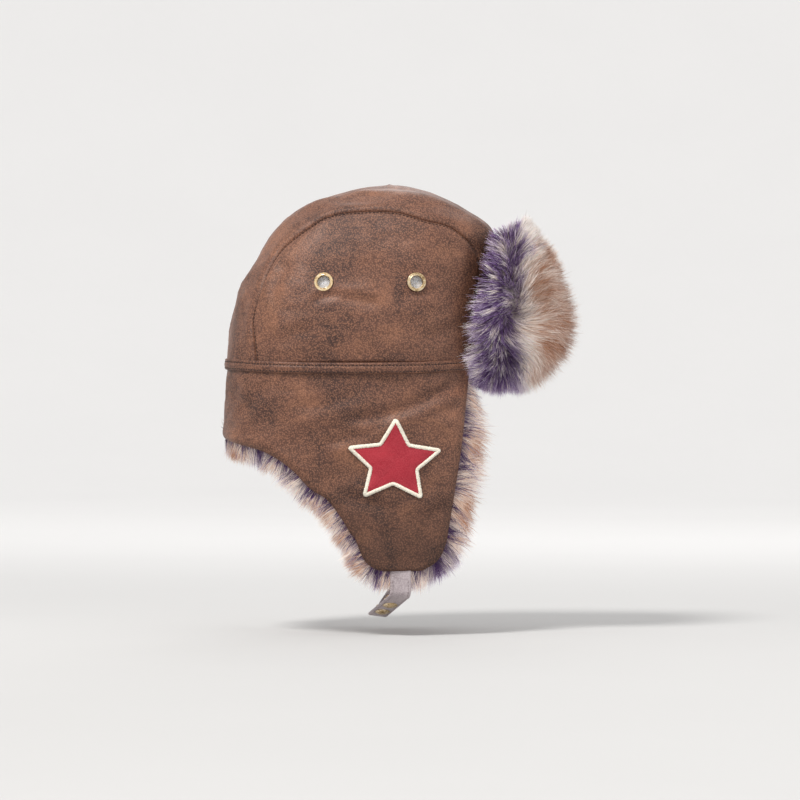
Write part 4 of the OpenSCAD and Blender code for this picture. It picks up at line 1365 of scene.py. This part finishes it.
def floor_material():
    """Pale paper, painted deeper in tone near the spot under the lights and paler further out: painted shade that evens
    out the key light's pool. It also has a faint glow of its own.
    """
    mat, nt, shader = new_material("pale_floor", Roughness=0.9, Specular_IOR_Level=0.1)
    at = node(nt, "ShaderNodeTexCoord").outputs["Object"]
    lit = node(nt, "ShaderNodeVectorMath", [(0, at), (1, (-0.4, -1.0, 0))], operation="DISTANCE")
    reach = lit.outputs["Value"]
    share = node(nt, "ShaderNodeMath", [(0, reach), (1, 6.0)], operation="DIVIDE").outputs[0]
    # Painted shade: darker near the lit spot and paler far away, so the lamp's pool of light is evened out.
    tone = ramp(nt, share, [(0.0, (0.42, 0.417, 0.414)), (0.22, (0.52, 0.517, 0.514)), (0.75, (0.93, 0.925, 0.92))])
    grain = ramp(nt, noise(nt, at, 3.0), [(0.3, grey(0.99)), (0.7, grey(1.0))])
    nt.links.new(mixed(nt, 1.0, tone, grain, "MULTIPLY"), shader.inputs["Base Color"])
    # A faint even glow of its own brightens the floor.
    shader.inputs["Emission Color"].default_value = (1, 0.99, 0.985, 1)
    shader.inputs["Emission Strength"].default_value = 0.04
    return mat


FLOOR_Z = -0.222


def studio_floor():
    """A wide round floor whose rim curves up, so that it has no horizon from any side."""
    flat, rise = 4.6, 4.0
    profile = [(0.5, 0), (1.5, 0), (3.0, 0), (flat, 0)]
    profile += [(flat + rise * math.sin(a), rise * (1 - math.cos(a))) for a in np.linspace(0.1, 1.35, 14)]
    turn = np.linspace(0, 2 * math.pi, 96, endpoint=False)
    points = [(r * math.cos(a), r * math.sin(a), FLOOR_Z + z) for r, z in profile for a in turn]
    faces = [tuple(range(96))]
    for i in range(len(profile) - 1):
        for j in range(96):
            k = (j + 1) % 96
            faces.append((i * 96 + j, (i + 1) * 96 + j, (i + 1) * 96 + k, i * 96 + k))
    me = bpy.data.meshes.new("floor")
    me.from_pydata(points, [], faces)
    me.polygons.foreach_set("use_smooth", np.ones(len(faces), bool))
    ob = bpy.data.objects.new("floor", me)
    bpy.context.scene.collection.objects.link(ob)
    me.materials.append(floor_material())


studio_floor()
bpy.context.scene.view_settings.view_transform = "Standard"

world = bpy.context.scene.world or bpy.data.worlds.new("studio")
bpy.context.scene.world = world
world.use_nodes = True
world.node_tree.nodes["Background"].inputs["Color"].default_value = (0.87, 0.863, 0.858, 1)
world.node_tree.nodes["Background"].inputs["Strength"].default_value = 0.94


def area_light(name, place, target, size, watts, colour=(1, 1, 1)):
    light = bpy.data.lights.new(name, "AREA")
    light.shape = "DISK"
    light.size = size
    light.energy = watts
    light.color = colour
    ob = bpy.data.objects.new(name, light)
    ob.location = place
    ob.rotation_euler = (Vector(target) - Vector(place)).to_track_quat("-Z", "Y").to_euler()
    bpy.context.scene.collection.objects.link(ob)


area_light("key", (-0.9, -1.5, 2.2), (0, 0, -0.03), 0.7, 72, (1.0, 0.985, 0.96))
area_light("fill", (1.8, -1.6, 0.6), (0, 0, -0.03), 1.4, 6, (0.95, 0.97, 1.0))
area_light("back", (0.3, 2.0, 1.5), (0, 0, 0), 1.2, 9)

camera = bpy.data.objects.new("camera", bpy.data.cameras.new("camera"))
camera.data.lens = 180
camera.data.sensor_width = 36
camera.data.clip_end = 50
camera.location = (0.0395, -3.36, -0.0277)
camera.rotation_euler = (math.radians(90), 0, 0)
bpy.context.scene.collection.objects.link(camera)
bpy.context.scene.camera = camera
